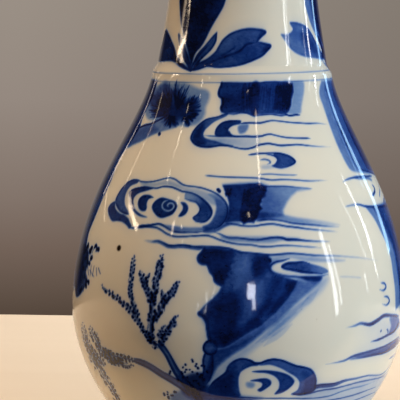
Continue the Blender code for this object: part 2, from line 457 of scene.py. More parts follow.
grow(sweep((BELLY_RADIUS, BELLY), BELLY_BEND_ABOVE, (JOINT_RADIUS, JOINT), SHOULDER_END))
grow(sweep((JOINT_RADIUS, JOINT), STEP_START, (LEDGE_RADIUS, LEDGE), STEP_END, 60))


def open_section(name, low, high, turns):
    """A thrown section that is open at both ends, and cut level where the slip goes."""
    low, high = low + SLIP_HALF, high - SLIP_HALF
    inside = span(inner_wall(), low, high, INSIDE_STEP)
    outside = span(outline, low, high, ROW_STEP)
    turned(name, np.vstack((inside, outside[::-1])), turns)


open_section("lower_bulb_shoulder", BELLY, WAIST_SEAM, fine_turns)


# Waist and lower half of the upper bulb. They are thrown as one tall section, drawn in at the
# waist on the wheel and opened out again above it.
WAIST_RADIUS, WAIST = 37.3, 254.0
UPPER_BELLY_RADIUS, UPPER_BELLY = 54.0, 302.0
WAIST_START = (-2.6, 16.0)
WAIST_BEND_BELOW, WAIST_BEND_ABOVE = (0.0, -18.0), (0.0, 27.0)
UPPER_BELLY_BEND_BELOW = (0.0, -23.0)

waist = (WAIST_RADIUS, WAIST)
upper_belly = (UPPER_BELLY_RADIUS, UPPER_BELLY)
grow(sweep((LEDGE_RADIUS, LEDGE), WAIST_START, waist, WAIST_BEND_BELOW))
grow(sweep(waist, WAIST_BEND_ABOVE, upper_belly, UPPER_BELLY_BEND_BELOW))
open_section("waist_and_upper_bulb", WAIST_SEAM, UPPER_BELLY, half_as_fine)


# Shoulder of the upper bulb. A small bowl thrown upside down, closed in on the wheel towards the
# neck and set on the section below.
NECK_RADIUS, NECK = 17.5, 354.0
UPPER_BELLY_BEND_ABOVE = (0.0, 27.0)
NECK_BEND_BELOW = (0.0, -25.0)
NECK_SEAM = 345.0

grow(sweep(upper_belly, UPPER_BELLY_BEND_ABOVE, (NECK_RADIUS, NECK), NECK_BEND_BELOW))
open_section("upper_bulb_shoulder", UPPER_BELLY, NECK_SEAM, half_as_fine)


# Neck and lip. A short collar, thrown with a slight flare and set on the shoulder. Its rim is
# rounded over by a wet finger.
LIP_RADIUS, LIP = 21.0, 380.0
NECK_BEND_ABOVE = (0.0, 10.0)
LIP_FLARE = (-2.6, -8.0)
RIM_ROUNDING = 1.6
NECK_STEP = 1.5

grow(sweep((NECK_RADIUS, NECK), NECK_BEND_ABOVE, (LIP_RADIUS, LIP), LIP_FLARE))
rim_height = LIP - RIM_ROUNDING
inside = span(inner_wall(), NECK_SEAM + SLIP_HALF, rim_height - RIM_ROUNDING / 2, NECK_STEP)
outside = span(outline, NECK_SEAM + SLIP_HALF, rim_height, ROW_STEP)
over = np.radians(np.linspace(165, 10, 12))
rim_middle = LIP_RADIUS - RIM_ROUNDING
rim = np.stack((rim_middle + RIM_ROUNDING * np.cos(over), rim_height + RIM_ROUNDING * np.sin(over)))
turned("neck_and_lip", np.vstack((inside, rim.T, outside[::-1])), half_as_fine)


# Slip joints. Liquid clay holds each section to the one under it: a thin web in the wall, trimmed
# flush and glazed over outside, and a soft bead left by the finger inside.
BEAD_REACH, BEAD_THICKNESS = 3.5, 1.5
BEAD_BITE = 0.05
seams = {
    "slip_joint_belly": (BELLY, fine_turns),
    "slip_joint_waist": (WAIST_SEAM, half_as_fine),
    "slip_joint_upper_bulb": (UPPER_BELLY, half_as_fine),
    "slip_joint_neck": (NECK_SEAM, half_as_fine),
}


def inside_the_wall(radius, z):
    return radius < np.interp(z, outline[:, 1], outline[:, 0]) - 0.5


for name, (seam, turns) in seams.items():
    behind = inner_wall()
    rise = np.linspace(-BEAD_REACH, BEAD_REACH, 15)
    bulge = BEAD_THICKNESS * np.cos(rise / BEAD_REACH * math.pi / 2) ** 2
    heights = seam + rise
    bead = np.stack((np.interp(heights, behind[:, 1], behind[:, 0]) - BEAD_BITE - bulge, heights), axis=1)
    edges = (seam - SLIP_HALF, seam + SLIP_HALF)
    web = [[np.interp(edge, behind[:, 1], behind[:, 0]), edge] for edge in edges]
    outside = span(outline, *edges, 0.4)
    profile = np.vstack((web[:1], bead, web[1:], outside[::-1]))
    turned(name, profile, turns, bare=inside_the_wall)


# The painter's brush. The raw, dry vase is painted in cobalt before it is glazed. One sheet holds
# how much cobalt lies on the wall: a row every half millimetre up it, a column at each turn.
outline_run = lengths(outline)
sheet_run = np.arange(0.0, outline_run[-1], ROW_STEP)
sheet_radius = np.interp(sheet_run, outline_run, outline[:, 0])
sheet_turn = fine_turns
sheet = np.zeros((len(sheet_run), len(sheet_turn)))
moved = {"turn": 0.0, "rise": 0.0, "mirror": False}
hand = np.random.default_rng(7)
DRAG = 0.3


def seen_at(points):
    """Places seen in the photograph, as (turn round the vase, run up the wall)."""
    points = np.atleast_2d(np.asarray(points, dtype=float))
    half = PICTURE_SIZE / 2
    reach = math.tan(VIEW_ANGLE / 2) / half
    across, down = (points - half).T
    towards = ahead + right * (across * reach)[:, None] - up * (down * reach)[:, None]
    a = towards[:, 0] ** 2 + towards[:, 1] ** 2
    b = towards[:, 0] * EYE[0] + towards[:, 1] * EYE[1]
    radius = np.full(len(points), 70.0)
    for _ in range(30):
        inside = np.maximum(b * b - a * (EYE[0] ** 2 + EYE[1] ** 2 - radius**2), 0)
        far = (-b - np.sqrt(inside)) / a
        z = EYE[2] + far * towards[:, 2]
        radius = (radius + np.interp(z, outline[:, 1], outline[:, 0])) / 2
    x, y = EYE[0] + far * towards[:, 0], EYE[1] + far * towards[:, 1]
    return np.stack((np.arctan2(x, -y), np.interp(z, outline[:, 1], outline_run)), axis=1)


def marked_at(points):
    """Places measured on the vase itself, as (degrees round it, millimetres up)."""
    turns, heights = np.asarray(points, dtype=float).T
    return np.stack((np.radians(turns), np.interp(heights, outline[:, 1], outline_run)), axis=1)


def flowing(points, closed=False):
    """A smooth line through some places."""
    p = np.asarray(points, dtype=float)
    p = np.vstack((p[-1:], p, p[:2])) if closed else np.vstack((2 * p[0] - p[1], p, 2 * p[-1] - p[-2]))
    line = []
    for a, b, c, d in zip(p, p[1:], p[2:], p[3:]):
        t = np.linspace(0, 1, max(2, math.ceil(math.dist(b, c) / 1.2)), endpoint=False)[:, None]
        bends = (c - a) * t + (2 * a - 5 * b + 4 * c - d) * t**2 + (3 * (b - c) + d - a) * t**3
        line.append(b + bends / 2)
    return np.vstack((*line, p[-2:-1]))


def carried(places):
    """Painted places moved to where the same motif is painted again."""
    turns = -places[:, 0] if moved["mirror"] else places[:, 0]
    turns = turns + math.radians(moved["turn"])
    turns = turns - 2 * math.pi * np.floor((turns.mean() - sheet_turn[0]) / 2 / math.pi)
    return np.stack((turns, places[:, 1] + moved["rise"]), axis=1)


def eased(value, low, high):
    t = np.clip((value - low) / (high - low), 0, 1)
    return t * t * (3 - 2 * t)


def patch(low, high, first, last):
    """The part of the sheet between two runs and two turns, with its turns and runs."""
    rows = slice(*np.searchsorted(sheet_run, (low, high)))
    columns = slice(*np.searchsorted(sheet_turn, (first, last)))
    return (rows, columns), sheet_turn[None, columns], sheet_run[rows, None]


def around(line, margin):
    """The part of the sheet that holds a line and a margin in mm round it."""
    reach = margin / np.interp(line[:, 1].mean(), sheet_run, sheet_radius)
    (first, low), (last, high) = line.min(axis=0), line.max(axis=0)
    return patch(low - margin, high + margin, first - reach, last + reach)


def lay(where, ink):
    sheet[where] = 1 - (1 - sheet[where]) * (1 - ink)


def stroke(points, width, ink, tips=(0.12, 0.12), where=seen_at, smooth=True):
    """One stroke, its width in mm and its ink from 0 to 1. Either may change on the way, and tips
    are the shares of its length over which it thins out at its two ends."""
    line = carried(where(flowing(points) if smooth else points))
    share = np.linspace(0, 1, len(line))
    changes = [np.broadcast_to(value, max(2, np.size(value))) for value in (width, ink)]
    half, inks = (np.interp(share, np.linspace(0, 1, len(change)), change) for change in changes)
    half = half / 2
    for tip, left in zip(tips, (share, 1 - share)):
        if tip:
            half = half * np.clip(left / tip, 0.12, 1) ** 0.7
    whole, turns, runs = around(line, half.max() + DRAG + 0.6)
    depth = np.full(sheet[whole].shape, -9.0)
    dark = np.zeros_like(depth)
    first_row, first_column = whole[0].start, whole[1].start
    for k, (start, end) in enumerate(zip(line, line[1:])):
        reach = max(half[k], half[k + 1]) + DRAG + 0.5
        radius = np.interp(start[1], sheet_run, sheet_radius)
        low, high = sorted((start[1], end[1]))
        first, last = sorted((start[0], end[0]))
        near, turns, runs = patch(
            low - reach, high + reach, first - reach / radius, last + reach / radius
        )
        rows = slice(near[0].start - first_row, near[0].stop - first_row)
        columns = slice(near[1].start - first_column, near[1].stop - first_column)
        if rows.start < 0 or columns.start < 0:
            continue
        x, y = (turns - start[0]) * radius, runs - start[1]
        dx, dy = (end[0] - start[0]) * radius, end[1] - start[1]
        t = np.clip((x * dx + y * dy) / (dx * dx + dy * dy + 1e-9), 0, 1)
        inside = half[k] + (half[k + 1] - half[k]) * t - np.hypot(x - t * dx, y - t * dy)
        closer = inside > depth[rows, columns]
        depth[rows, columns] = np.where(closer, inside, depth[rows, columns])
        here = inks[k] + (inks[k + 1] - inks[k]) * t
        dark[rows, columns] = np.where(closer, here, dark[rows, columns])
    lay(whole, dark * eased(depth, -DRAG, DRAG))


def wash(points, ink, fading=None, soft=0.5, pool=0.15, smooth=True, where=seen_at):
    """A filled shape. Thin cobalt pools darker along its edge. fading is (from, to, ink there)."""
    edge = carried(where(flowing(points, closed=True) if smooth else points))
    whole, turns, runs = around(edge, soft + 1.0)
    x = turns * np.interp(runs, sheet_run, sheet_radius)
    y = runs + 0 * turns
    corners = np.stack((edge[:, 0] * np.interp(edge[:, 1], sheet_run, sheet_radius), edge[:, 1]), axis=1)
    inside = np.zeros(x.shape, dtype=bool)
    gap = np.full(x.shape, 1e9)
    for (x0, y0), (x1, y1) in zip(np.roll(corners, 1, axis=0), corners):
        dx, dy = x1 - x0, y1 - y0
        if dy:
            crossed = (y > min(y0, y1)) & (y <= max(y0, y1))
            inside ^= crossed & (x < x0 + (y - y0) * dx / dy)
        t = np.clip(((x - x0) * dx + (y - y0) * dy) / (dx * dx + dy * dy + 1e-9), 0, 1)
        gap = np.minimum(gap, (x - x0 - t * dx) ** 2 + (y - y0 - t * dy) ** 2)
    depth = np.sqrt(gap) * np.where(inside, 1, -1)
    strength = np.full(x.shape, float(ink))
    if fading:
        radius = np.interp(edge[:, 1].mean(), sheet_run, sheet_radius)
        start, end = carried(where([fading[0], fading[1]]))
        dx, dy = (end[0] - start[0]) * radius, end[1] - start[1]
        t = ((turns - start[0]) * radius * dx + (runs - start[1]) * dy) / (dx * dx + dy * dy)
        strength = ink + (fading[2] - ink) * np.clip(t, 0, 1)
    strength = strength * (1 + pool * np.exp(-np.maximum(depth, 0) / 0.6))
    lay(whole, np.clip(strength * eased(depth, -soft, soft), 0, 0.97))


def haze(points, ink, soft, fading=None, smooth=True):
    """A wash with soft edges, too thin to pool."""
    wash(points, ink, fading, soft, pool=0, smooth=smooth)


def ring_line(height, width, ink, tilt):
    """A line drawn round the vase on the wheel, a little higher on the right by its tilt."""
    turns = np.linspace(math.degrees(sheet_turn[0]), math.degrees(sheet_turn[0]) + 360, 181)
    sway = np.sin(np.radians(turns)) * tilt
    stroke(np.stack((turns, height + sway), axis=1), width, ink, (0, 0), marked_at, smooth=False)


# Ring lines. They are drawn on the wheel at the step under the waist, at the foot, on the upper bulb
# and at the lip. The two at the step run a little lower on the left.
for height, width, ink, tilt in (
    (195.1, 0.55, 0.34, 1.2),
    (190.8, 0.55, 0.34, 1.2),
    (8.3, 1.0, 0.6, 0.2),
    (11.4, 0.6, 0.5, 0.2),
    (291.0, 0.6, 0.4, 0.2),
    (288.4, 0.5, 0.35, 0.2),
    (341.5, 0.7, 0.5, 0.2),
    (338.8, 0.5, 0.4, 0.2),
    (376.0, 1.6, 0.6, 0.1),
):
    ring_line(height, width, ink, tilt)


# Leaves round the waist: three tufts of upright and lobed leaves, a third of a turn apart, each
# in one heavy wash with a darker outline. The near tuft grows up out of the photograph.
tall_leaf = [
    (191, 71), (190.4, 62), (188.3, 52), (185.6, 42), (183.3, 32), (181, 22), (180, 11), (179.2, -6),
    (177, -22), (176, -42), (179, -62), (185, -80), (193, -96), (203, -82), (213, -64), (222, -44),
    (227.6, -24), (228, -8), (225.6, 0), (223.3, 6.7), (219, 14.4), (214.4, 22), (210, 30), (205.6, 39),
    (201, 46.7), (195.6, 53), (192.4, 62),
]
tall_leaf_heart = [
    (190, 60), (187, 45), (184, 25), (183, 0), (182, -30), (188, -60), (194, -80), (204, -60), (216, -30),
    (218, -8), (210, 16), (200, 38), (194, 52),
]
right_blade = [
    (191.5, 70), (194.4, 65.6), (203.3, 56.7), (211, 49), (215.6, 41), (216.7, 32.2), (212.4, 38.5),
    (205.6, 46.6), (197.8, 54.8), (192.8, 64.4),
]
left_blade = [(190.4, 70), (184, 57), (180.4, 46), (178.2, 33.7), (182, 38), (186.5, 50), (190.4, 63)]
blade_edges = [
    [(191.4, 69), (192.8, 64.4), (197.8, 54.4), (205.6, 45.6), (212, 38), (216.7, 32.4)],
    [(192, 69), (197.6, 62.4), (203.3, 56.7), (211, 49), (215.6, 41), (216.7, 32.6)],
    [(195, 62), (201, 53), (208, 45.6)],
    [(190.4, 70), (184.3, 58), (180.5, 46), (178.4, 34)],
    [(190.8, 67), (187.2, 56), (184, 47), (181.6, 39)],
]
ray_tips = [(180.2, 53), (176, 58), (184, 51), (202, 57.6), (206, 60.5)]
tuft_root = (191, 70.8)
lobed_leaf = [
    (192, 70.6), (198.9, 63.6), (207.8, 58.9), (215.6, 52.2), (219, 46.7), (223.3, 40), (230, 34.4),
    (237.8, 31), (246.7, 29), (255.6, 29.2), (262, 30), (265.6, 32.2), (261, 36.7), (256.7, 41.7),
    (263.3, 43.3), (270.6, 45.6), (266.7, 51), (262, 55.6), (255.6, 58.9), (247.8, 62.2), (238.9, 65),
    (227.8, 66.7), (216.7, 67.2), (207.8, 66), (199, 68.9),
]
lobe_shadow = [
    (212, 65.5), (224, 57), (238, 50.5), (248, 45.5), (262, 45), (268, 47), (262, 54), (250, 60),
    (236, 63.5), (222, 65.5),
]
lobe_root = [(194, 69.4), (202, 63.4), (212, 57), (221, 52), (226, 56), (220, 62), (208, 65.8)]
lobe_tips = [
    [(258.6, 36), (262, 30.6), (265.4, 32), (261.4, 36.2)],
    [(262, 51), (266.6, 45.4), (270.4, 45.8), (265.6, 51.4)],
]
lobe_vein = [
    (256.7, 42.2), (246.7, 44.4), (241, 50), (234.4, 53.3), (225, 56.4), (216.7, 59.6), (205, 64.6),
]
lobe_fold = [(236, 46.7), (228, 52), (221, 55.4)]
LOBE_MIDDLE = 34.0


def leaf_tuft(ink):
    wash(tall_leaf, ink, pool=0.1)
    haze(tall_leaf_heart, ink * 0.55, 1.5)
    wash(right_blade, 0.62)
    wash(left_blade, 0.55)
    for edge in blade_edges:
        stroke(edge, 0.8, 0.85)
    for x, y in ray_tips:
        root_x, root_y = tuft_root
        bend = ((root_x + x) / 2 + 0.3, (root_y + y) / 2 + 0.8)
        stroke([tuft_root, bend, (x, y)], 0.6, 0.7, (0, 0.5))


def spreading_leaf():
    wash(lobed_leaf, 0.56, pool=0.35)
    haze(lobe_shadow, 0.2, 1.2)
    haze(lobe_root, 0.5, 2.4)
    for tip in lobe_tips:
        haze(tip, 0.5, 0.8)
    stroke(lobe_vein, (0.8, 1.0, 1.2, 1.2), 0.7, (0.1, 0.4))
    stroke(lobe_fold, 0.8, 0.5)
    stroke(lobed_leaf[:14], (0.6, 0.75, 0.8, 1.0), 0.8, (0.05, 0.02))
    stroke(lobed_leaf[13:] + lobed_leaf[:1], (0.8, 1.0, 0.8, 0.8, 0.8, 0.9), 0.8, (0.05, 0.05))


for moved["turn"], ink in ((0.0, 0.9), (120.0, 0.5), (240.0, 0.85)):
    leaf_tuft(ink)
    spreading_leaf()
moved["mirror"], moved["turn"] = True, 240.0 - 2 * LOBE_MIDDLE
spreading_leaf()
moved.update(mirror=False, turn=0.0)

near_leaf = [
    (191, 71.4), (181, 67.2), (172, 61), (160, 61.4), (158.3, 57.8), (160, 50.6), (161.7, 44.4),
    (165.6, 30), (169, 34.4), (172, 42), (175, 50), (175.8, 54.6), (181, 61.4),
]
near_leaf_edge = [(190.5, 71), (182, 66.8), (176.4, 61), (174.5, 50), (171, 41), (165.6, 30.6)]
wash(near_leaf, 0.82, pool=0.1)
stroke(near_leaf_edge, 0.9, 0.85)
far_leaf = [
    (290, 22.2), (297.8, 23.3), (305.6, 26.7), (311, 33.3), (315.6, 42.2), (320, 50), (323.3, 58.9),
    (314.4, 57.8), (305.6, 56.7), (296.7, 53.3), (290, 47.8), (285.6, 41), (281, 34.4), (285.6, 34.6),
    (290.6, 32.6), (293, 29), (291, 25.6),
]
far_leaf_shadow = [(318, 54), (308, 50), (302, 42), (300, 33), (306, 32), (313, 42)]
far_leaf_stem = [(70, 205), (76, 208), (84, 203.5), (87, 201.5), (78, 201.8), (70, 202.5)]
wash(far_leaf, 0.44, pool=0.4)
haze(far_leaf_shadow, 0.3, 2.0)
stroke(far_leaf[:7], 0.7, 0.5, (0.1, 0.3))
wash(far_leaf_stem, 0.6, where=marked_at)


# Trunks at the two sides. A broad upright band of wash runs down each side of the vase, from the
# waist to the belly, and on the right a second one hangs from the waist over it.
left_bark = [
    (157.6, 80.6), (152.6, 97), (145.4, 111.4), (141.4, 121.4), (139.6, 128), (134, 137), (124.4, 150),
    (116, 166), (111.2, 180), (102.6, 198.5), (95, 217), (89, 232), (86.6, 244), (84.6, 256), (83, 270),
    (79, 286), (75.6, 293),
]
waist_bark = [
    (304.4, -40), (303.6, -20), (304.4, 0), (307.8, 14.4), (311, 24.4), (314.4, 32.2), (320, 44.4),
    (323.3, 53.3), (325.6, 64.4),
]
right_bark = [
    (321.6, 81), (319.8, 88), (319.8, 96), (323, 105), (327, 117), (330.4, 127), (333.4, 135),
    (337.4, 145), (342, 155), (346.6, 164), (352, 170.6), (362, 172.6), (374, 173.6),
]
low_bark = [
    (366, 207.6), (374.4, 219), (381, 232), (386.2, 243), (390.6, 257), (393, 273), (395, 290),
    (395.6, 310),
]


def placed(places):
    """Places already given as (turn, run)."""
    return np.asarray(places)


def bark(edge, far_turn, layers, grain):
    """A band of wash between a line seen in the photograph and an uneven one at a turn round the
    side of the vase. Each layer starts so many degrees in from the line, and long strokes run
    down through them."""
    line = seen_at(flowing(edge))
    side = math.copysign(1, far_turn)
    runs = line[::-1, 1]
    lowest, highest = runs.min(), runs.max()
    runs = lowest + 0.2 * (highest - lowest) + 0.8 * (runs - lowest)
    waver = 3.5 * np.sin(runs * 0.13 + far_turn) + 2 * np.sin(runs * 0.37) + 1.2 * np.sin(runs * 1.1)
    taper = 11 * np.clip(1 - (runs - runs.min()) / 30, 0, 1) ** 2
    far_line = np.stack((np.radians(far_turn + waver - side * taper), runs), axis=1)
    for inward, ink, soft in layers:
        near_line = line + (side * math.radians(inward), 0)
        wash(np.vstack((near_line, far_line)), ink, where=placed, smooth=False, soft=soft)
    for _ in range(grain):
        share, start, end = hand.uniform(0.15, 0.95), hand.uniform(0, 0.4), hand.uniform(0.6, 1.0)
        part = line[int(start * len(line)) : int(end * len(line))]
        turns = part[:, 0] + (math.radians(far_turn) - part[:, 0]) * share
        path = np.stack((turns, part[:, 1]), axis=1)
        width, darkness = hand.uniform(0.8, 2.4), hand.uniform(0.25, 0.6)
        stroke(path, width, darkness, (0.3, 0.3), placed, smooth=False)


bark(left_bark, -108.0, ((0, 0.72, 0.8), (6, 0.4, 1.5)), 10)
bark(waist_bark, 106.0, ((0, 0.4, 0.7), (7, 0.35, 1.5)), 10)
bark(right_bark, 110.0, ((0, 0.36, 1.0), (6, 0.26, 1.6), (20, 0.4, 2.5)), 14)
bark(low_bark, 106.0, ((0, 0.35, 0.9), (5, 0.4, 1.4)), 10)


# Pines and rocks under the ring lines. Each clump of needles is a fan of short wet strokes laid
# over a pale wash, and each rock is a block of wash with upright strokes through it.
needle_fans = {
    (171, 114): [
        (166.4, 79.6), (164.3, 83.6), (160, 86.6), (157, 90), (153.8, 95), (151, 100), (149.4, 105),
        (148.8, 111.4), (150.7, 118), (154, 108), (158, 99), (162, 92), (167, 87), (170.6, 84),
    ],
    (176, 112): [
        (175, 84.6), (177, 82.2), (180, 81.6), (183, 82), (186.4, 84), (187, 88), (186, 95), (178.6, 92),
        (182.6, 90),
    ],
    (186, 113): [
        (190, 95.4), (192.6, 94.4), (195, 94.6), (198.6, 95.6), (200.7, 99.4), (201.4, 104.3),
        (201.4, 110), (200.6, 115), (193, 103), (196, 108),
    ],
    (172, 113): [(167, 127.6), (169, 128.6), (171.4, 128.6), (174.6, 127.6), (177, 126.6), (163, 124)],
    (185, 115): [
        (186.4, 127.6), (188.6, 128), (190.7, 126.8), (193.2, 121.4), (182, 122.6), (196.4, 118),
    ],
}
pine_haze = [
    (150, 92), (160, 84), (172, 83), (184, 82.6), (192, 85.4), (199.3, 88.6), (206.4, 90), (209.6, 94),
    (208.6, 101), (205.7, 107), (205, 114), (201.4, 120), (196, 124.6), (186, 126), (172, 124.6),
    (158, 121), (147, 118), (146, 106),
]
pine_shade = [
    (150, 103), (156, 92), (165, 82), (171, 90), (173, 104), (186, 100), (198, 103), (198, 112),
    (188, 117), (172, 118), (157, 115),
]
pine_heart = [
    (164, 98), (172, 92), (180, 98), (188, 103), (191, 112), (190, 119), (180, 121), (170, 121),
    (163, 113),
]
branch = [(139, 128), (144.3, 125.4), (150.7, 124), (156.4, 121.4), (162.9, 117.9), (170, 113.4)]
mound = [
    (139.6, 127.6), (150, 124.4), (160, 121.4), (168, 120.6), (176, 124), (177, 127), (168.6, 129.6),
    (161.4, 131.6), (154.3, 134.3), (147, 137.9), (140, 142), (134, 144), (128, 147), (132, 138),
]
mound_foot = [
    (152, 126), (158, 130), (150, 135), (140, 141), (128, 147.5), (126, 146), (134, 136), (142, 129),
]
fallen_cone = [(159.2, 133.4), (159.6, 134.4)]
NEEDLES_PER_TIP = 9


def pine_clump():
    haze(pine_haze, 0.3, 1.4)
    haze(pine_shade, 0.5, 2.0)
    haze(pine_heart, 0.5, 2.4)
    for (x, y), tips in needle_fans.items():
        reaches = [math.hypot(tip_x - x, tip_y - y) for tip_x, tip_y in tips]
        bearings = [math.atan2(tip_y - y, tip_x - x) for tip_x, tip_y in tips]
        for _ in range(NEEDLES_PER_TIP * len(tips)):
            tip = hand.integers(len(tips))
            bearing = bearings[tip] + hand.normal(0, 0.11)
            reach = reaches[tip] * hand.uniform(0.45, 1.04)
            root = reach * hand.uniform(0.15, 0.7)
            bend = hand.uniform(-0.12, 0.12)
            needle = []
            for share in (0, 0.5, 1):
                out, turn = root + (reach - root) * share, bearing + bend * share
                needle.append((x + math.cos(turn) * out, y + math.sin(turn) * out))
            stroke(needle, hand.uniform(0.45, 0.85), hand.uniform(0.25, 0.8), (0.1, 0.15))


def pine_bank():
    wash(mound, 0.36, soft=0.8)
    haze(mound_foot, 0.3, 1.6)
    stroke(branch, 1.2, 0.88, (0.05, 0.2))
    stroke(fallen_cone, 1.6, 0.95, (0, 0))


rock = [
    (221.5, 82.4), (230, 82.4), (242, 82.8), (250, 82.6), (259, 82.6), (265, 81.4), (275, 81),
    (285, 81.8), (290, 82.8), (293, 85.6), (293.6, 92), (291.6, 99), (291, 106), (288.2, 112),
    (285, 114.6), (271, 113.4), (260, 114), (253, 115), (249, 114), (240, 112.4), (231, 113),
    (225, 113.6), (222, 111.8), (221, 108), (222.4, 104), (222.6, 98.6), (219.4, 96.5), (218.5, 93.2),
    (220, 88),
]
rock_left = [(222, 82.8), (242, 83), (242, 112.4), (222, 113)]
rock_rib = [(253, 83), (258.6, 83), (259.4, 99), (257.4, 114), (252, 114.4), (251, 98)]
rock_right = [(283, 83), (292.4, 84), (291, 98), (288, 111), (279, 112), (282, 98)]
rock_mouth = [(224, 96), (240, 94), (241, 111), (225, 112.4)]
rock_left_edge = [
    (221.8, 82), (221.6, 85), (220, 88.4), (218.8, 93), (219.6, 96.2), (222.4, 98.6), (222.6, 104),
    (221.2, 108), (222.2, 112),
]
rock_foot = [(285, 114), (290, 115.6), (296, 114.8), (300, 115.2)]
rock_haze = [
    (292, 82), (298, 81), (303.6, 82.4), (304, 90), (303, 97), (301.4, 106), (300, 113.4), (289, 113.6),
    (291.5, 106), (293, 96), (293.6, 88),
]


def cracks(left, right, top, bottom, slant, gap, width, ink):
    """Upright strokes close together through a rock, with ragged ends."""
    x = left
    while x < right:
        sway = hand.uniform(-0.7, 0.7, 3)
        ends = hand.uniform(0, 3.5, 2)
        line = [(x + sway[0], top + ends[0]), (x - slant / 2 + sway[1], (top + bottom) / 2)]
        line.append((x - slant + sway[2], bottom - ends[1]))
        stroke(line, width * hand.uniform(0.7, 1.3), ink * hand.uniform(0.75, 1.1), (0.1, 0.15))
        x += gap * hand.uniform(0.7, 1.3)


def upper_rock():
    wash(rock, 0.66, smooth=False, pool=0.1)
    haze(rock_left, 0.42, 1.4, smooth=False)
    haze(rock_mouth, 0.35, 3.0, smooth=False)
    cracks(242.5, 253.4, 82.5, 113.4, 0.8, 1.25, 1.0, 0.75)
    haze(rock_rib, 0.72, 0.9)
    cracks(260, 274, 84, 112, 1.6, 2.4, 0.8, 0.3)
    cracks(276.8, 292.4, 82, 113, 3.4, 1.25, 1.1, 0.75)
    haze(rock_right, 0.5, 1.6)
    stroke(rock_left_edge, 1.3, 0.85, (0.04, 0.04))
    wash(rock_haze, 0.27, soft=1.0, pool=0.1)
    stroke(rock_foot, 0.9, 0.8, (0.05, 0.2))


pine_bank()
pine_clump()
upper_rock()


# Clouds. Each is a comma of dark wash with curling lines round it. The lines trail off to the
# right as streams, thinner and paler as the brush runs dry.
arch_band = [
    (228, 113.8), (223, 115), (218, 117), (212, 118.2), (207, 119.4), (202, 122.5), (196, 128),
    (192.2, 134), (191.2, 139), (195, 144), (201, 146.4), (207, 147), (213, 146.4), (220, 145.6),
    (228, 146.2), (233, 145.6), (225, 144), (215, 141), (210, 140), (204.6, 137.6), (203.2, 134.2),
    (205, 130), (209, 126), (214, 122), (220, 119), (226, 116.2),
]
arch_heart = [
    (203, 123.6), (197, 128.6), (193.4, 134), (192.8, 139.4), (196, 143.4), (203, 145), (206, 142),
    (202.6, 138.6), (201.4, 134), (203.6, 128.6),
]
arch_foot = [
    (206, 139), (215, 138.2), (230.8, 138), (247.1, 138), (258, 138.4), (259, 142), (253, 146.6),
    (245, 148), (234, 146), (222, 144), (212, 142),
]
arch_line = [
    (228, 113.7), (223, 114.9), (218, 116.8), (212, 118), (207, 119.2), (202, 122.3), (196, 127.8),
    (192, 134), (191, 139), (195, 144.2), (201, 146.6), (207, 147.2), (213, 146.6), (220, 145.6),
    (227, 145.8), (234, 147.2), (240, 148.5), (246, 149), (253, 147.5), (259, 145), (268, 143.6),
    (275, 144.6), (281, 145.5), (290, 145), (298, 144.6), (307, 145.5), (318, 146.5), (331, 146.7),
]
arch_crown = [
    (228, 113.8), (234, 114.2), (241, 112.6), (247.6, 113.4), (253.6, 115.6), (262, 114.8), (272, 114.4),
    (281, 115.6), (287, 115),
]
arch_comma = [
    (239.6, 120.4), (230, 121), (224, 122.3), (219.6, 125), (216.6, 129), (215, 134), (217, 136.2),
    (222, 136.4), (227, 136.2), (232, 136), (229.6, 133.6), (228, 131), (229.2, 128), (233, 125.5),
    (239, 124), (241, 122),
]
arch_roof = [
    (239, 124), (247, 122.9), (255, 122.9), (261, 122.8), (268, 121.2), (273, 120.6), (280, 121.2),
    (290, 122.4), (300, 123), (309, 123.5), (318, 123.3), (328, 124.5),
]
arch_eye = [(239, 125.6), (247.6, 124.6), (248, 128), (245, 132.4), (240, 133.6), (238, 130)]
arch_lid = [(228.6, 130.6), (230.4, 134), (234, 136), (240, 136.4)]
arch_floor = [
    (204, 135.6), (215, 136.2), (233, 136.4), (247, 136.4), (253, 136.6), (261, 136.2), (265, 135),
    (270, 134.2), (275, 135.2), (283, 137), (293, 138), (301, 138.1), (310.4, 138.3),
]


def arch_cloud():
    haze(arch_foot, 0.24, 1.4, ((220, 140), (258, 146), 0.1))
    wash(arch_band, 0.56, pool=0.2)
    haze(arch_heart, 0.55, 1.3)
    widths = (0.7, 0.7, 0.7, 0.9, 0.8, 0.9, 1.0, 0.8, 0.6)
    stroke(arch_line, widths, (0.8, 0.75, 0.85, 0.85, 0.7, 0.8, 0.75, 0.6, 0.08), (0.03, 0.05))
    stroke(arch_crown, 0.7, (0.6, 0.7, 0.75, 0.8), (0.1, 0.1))
    wash(arch_comma, 0.74, pool=0.3)
    stroke(arch_comma[:6], 0.8, 0.8, (0.3, 0.1))
    stroke(arch_roof, (0.8, 1.0, 0.7, 0.75, 0.8, 0.6), (0.7, 0.78, 0.65, 0.7, 0.6, 0.06), (0.05, 0.05))
    haze(arch_eye, 0.45, 0.9)
    stroke(arch_lid, 0.8, 0.6)
    stroke(arch_floor, (0.6, 0.7, 1.1, 0.8, 0.8, 0.8), (0.55, 0.65, 0.8, 0.7, 0.65, 0.7), (0.06, 0.03))


comma = [
    (275, 153), (281, 153.5), (288, 155.5), (293, 158.5), (295.5, 162), (292, 165), (286, 167.5),
    (280, 168.5), (272, 166), (275.6, 164), (278, 161), (277.2, 158), (273.6, 155),
]
comma_line = [
    (248.5, 155), (255, 154), (261, 153.4), (268, 153.2), (275, 153), (281, 153.6), (288, 155.6),
    (293, 158.6), (295.3, 161.8), (292, 164.9), (286, 167.4),
]
comma_rim = [(266, 154.4), (273.6, 155.8), (277.4, 158.8), (277, 162), (274, 165)]
comma_curl = [(260, 160), (265, 159.4), (269.4, 160.8), (270.2, 163), (267.4, 164)]
# A pale wash painted where the glaze shows a glint beside the comma: a painted reflection.
comma_painted_glint = [(262, 165.5), (270, 165), (276, 167), (268, 169), (262, 168.5)]


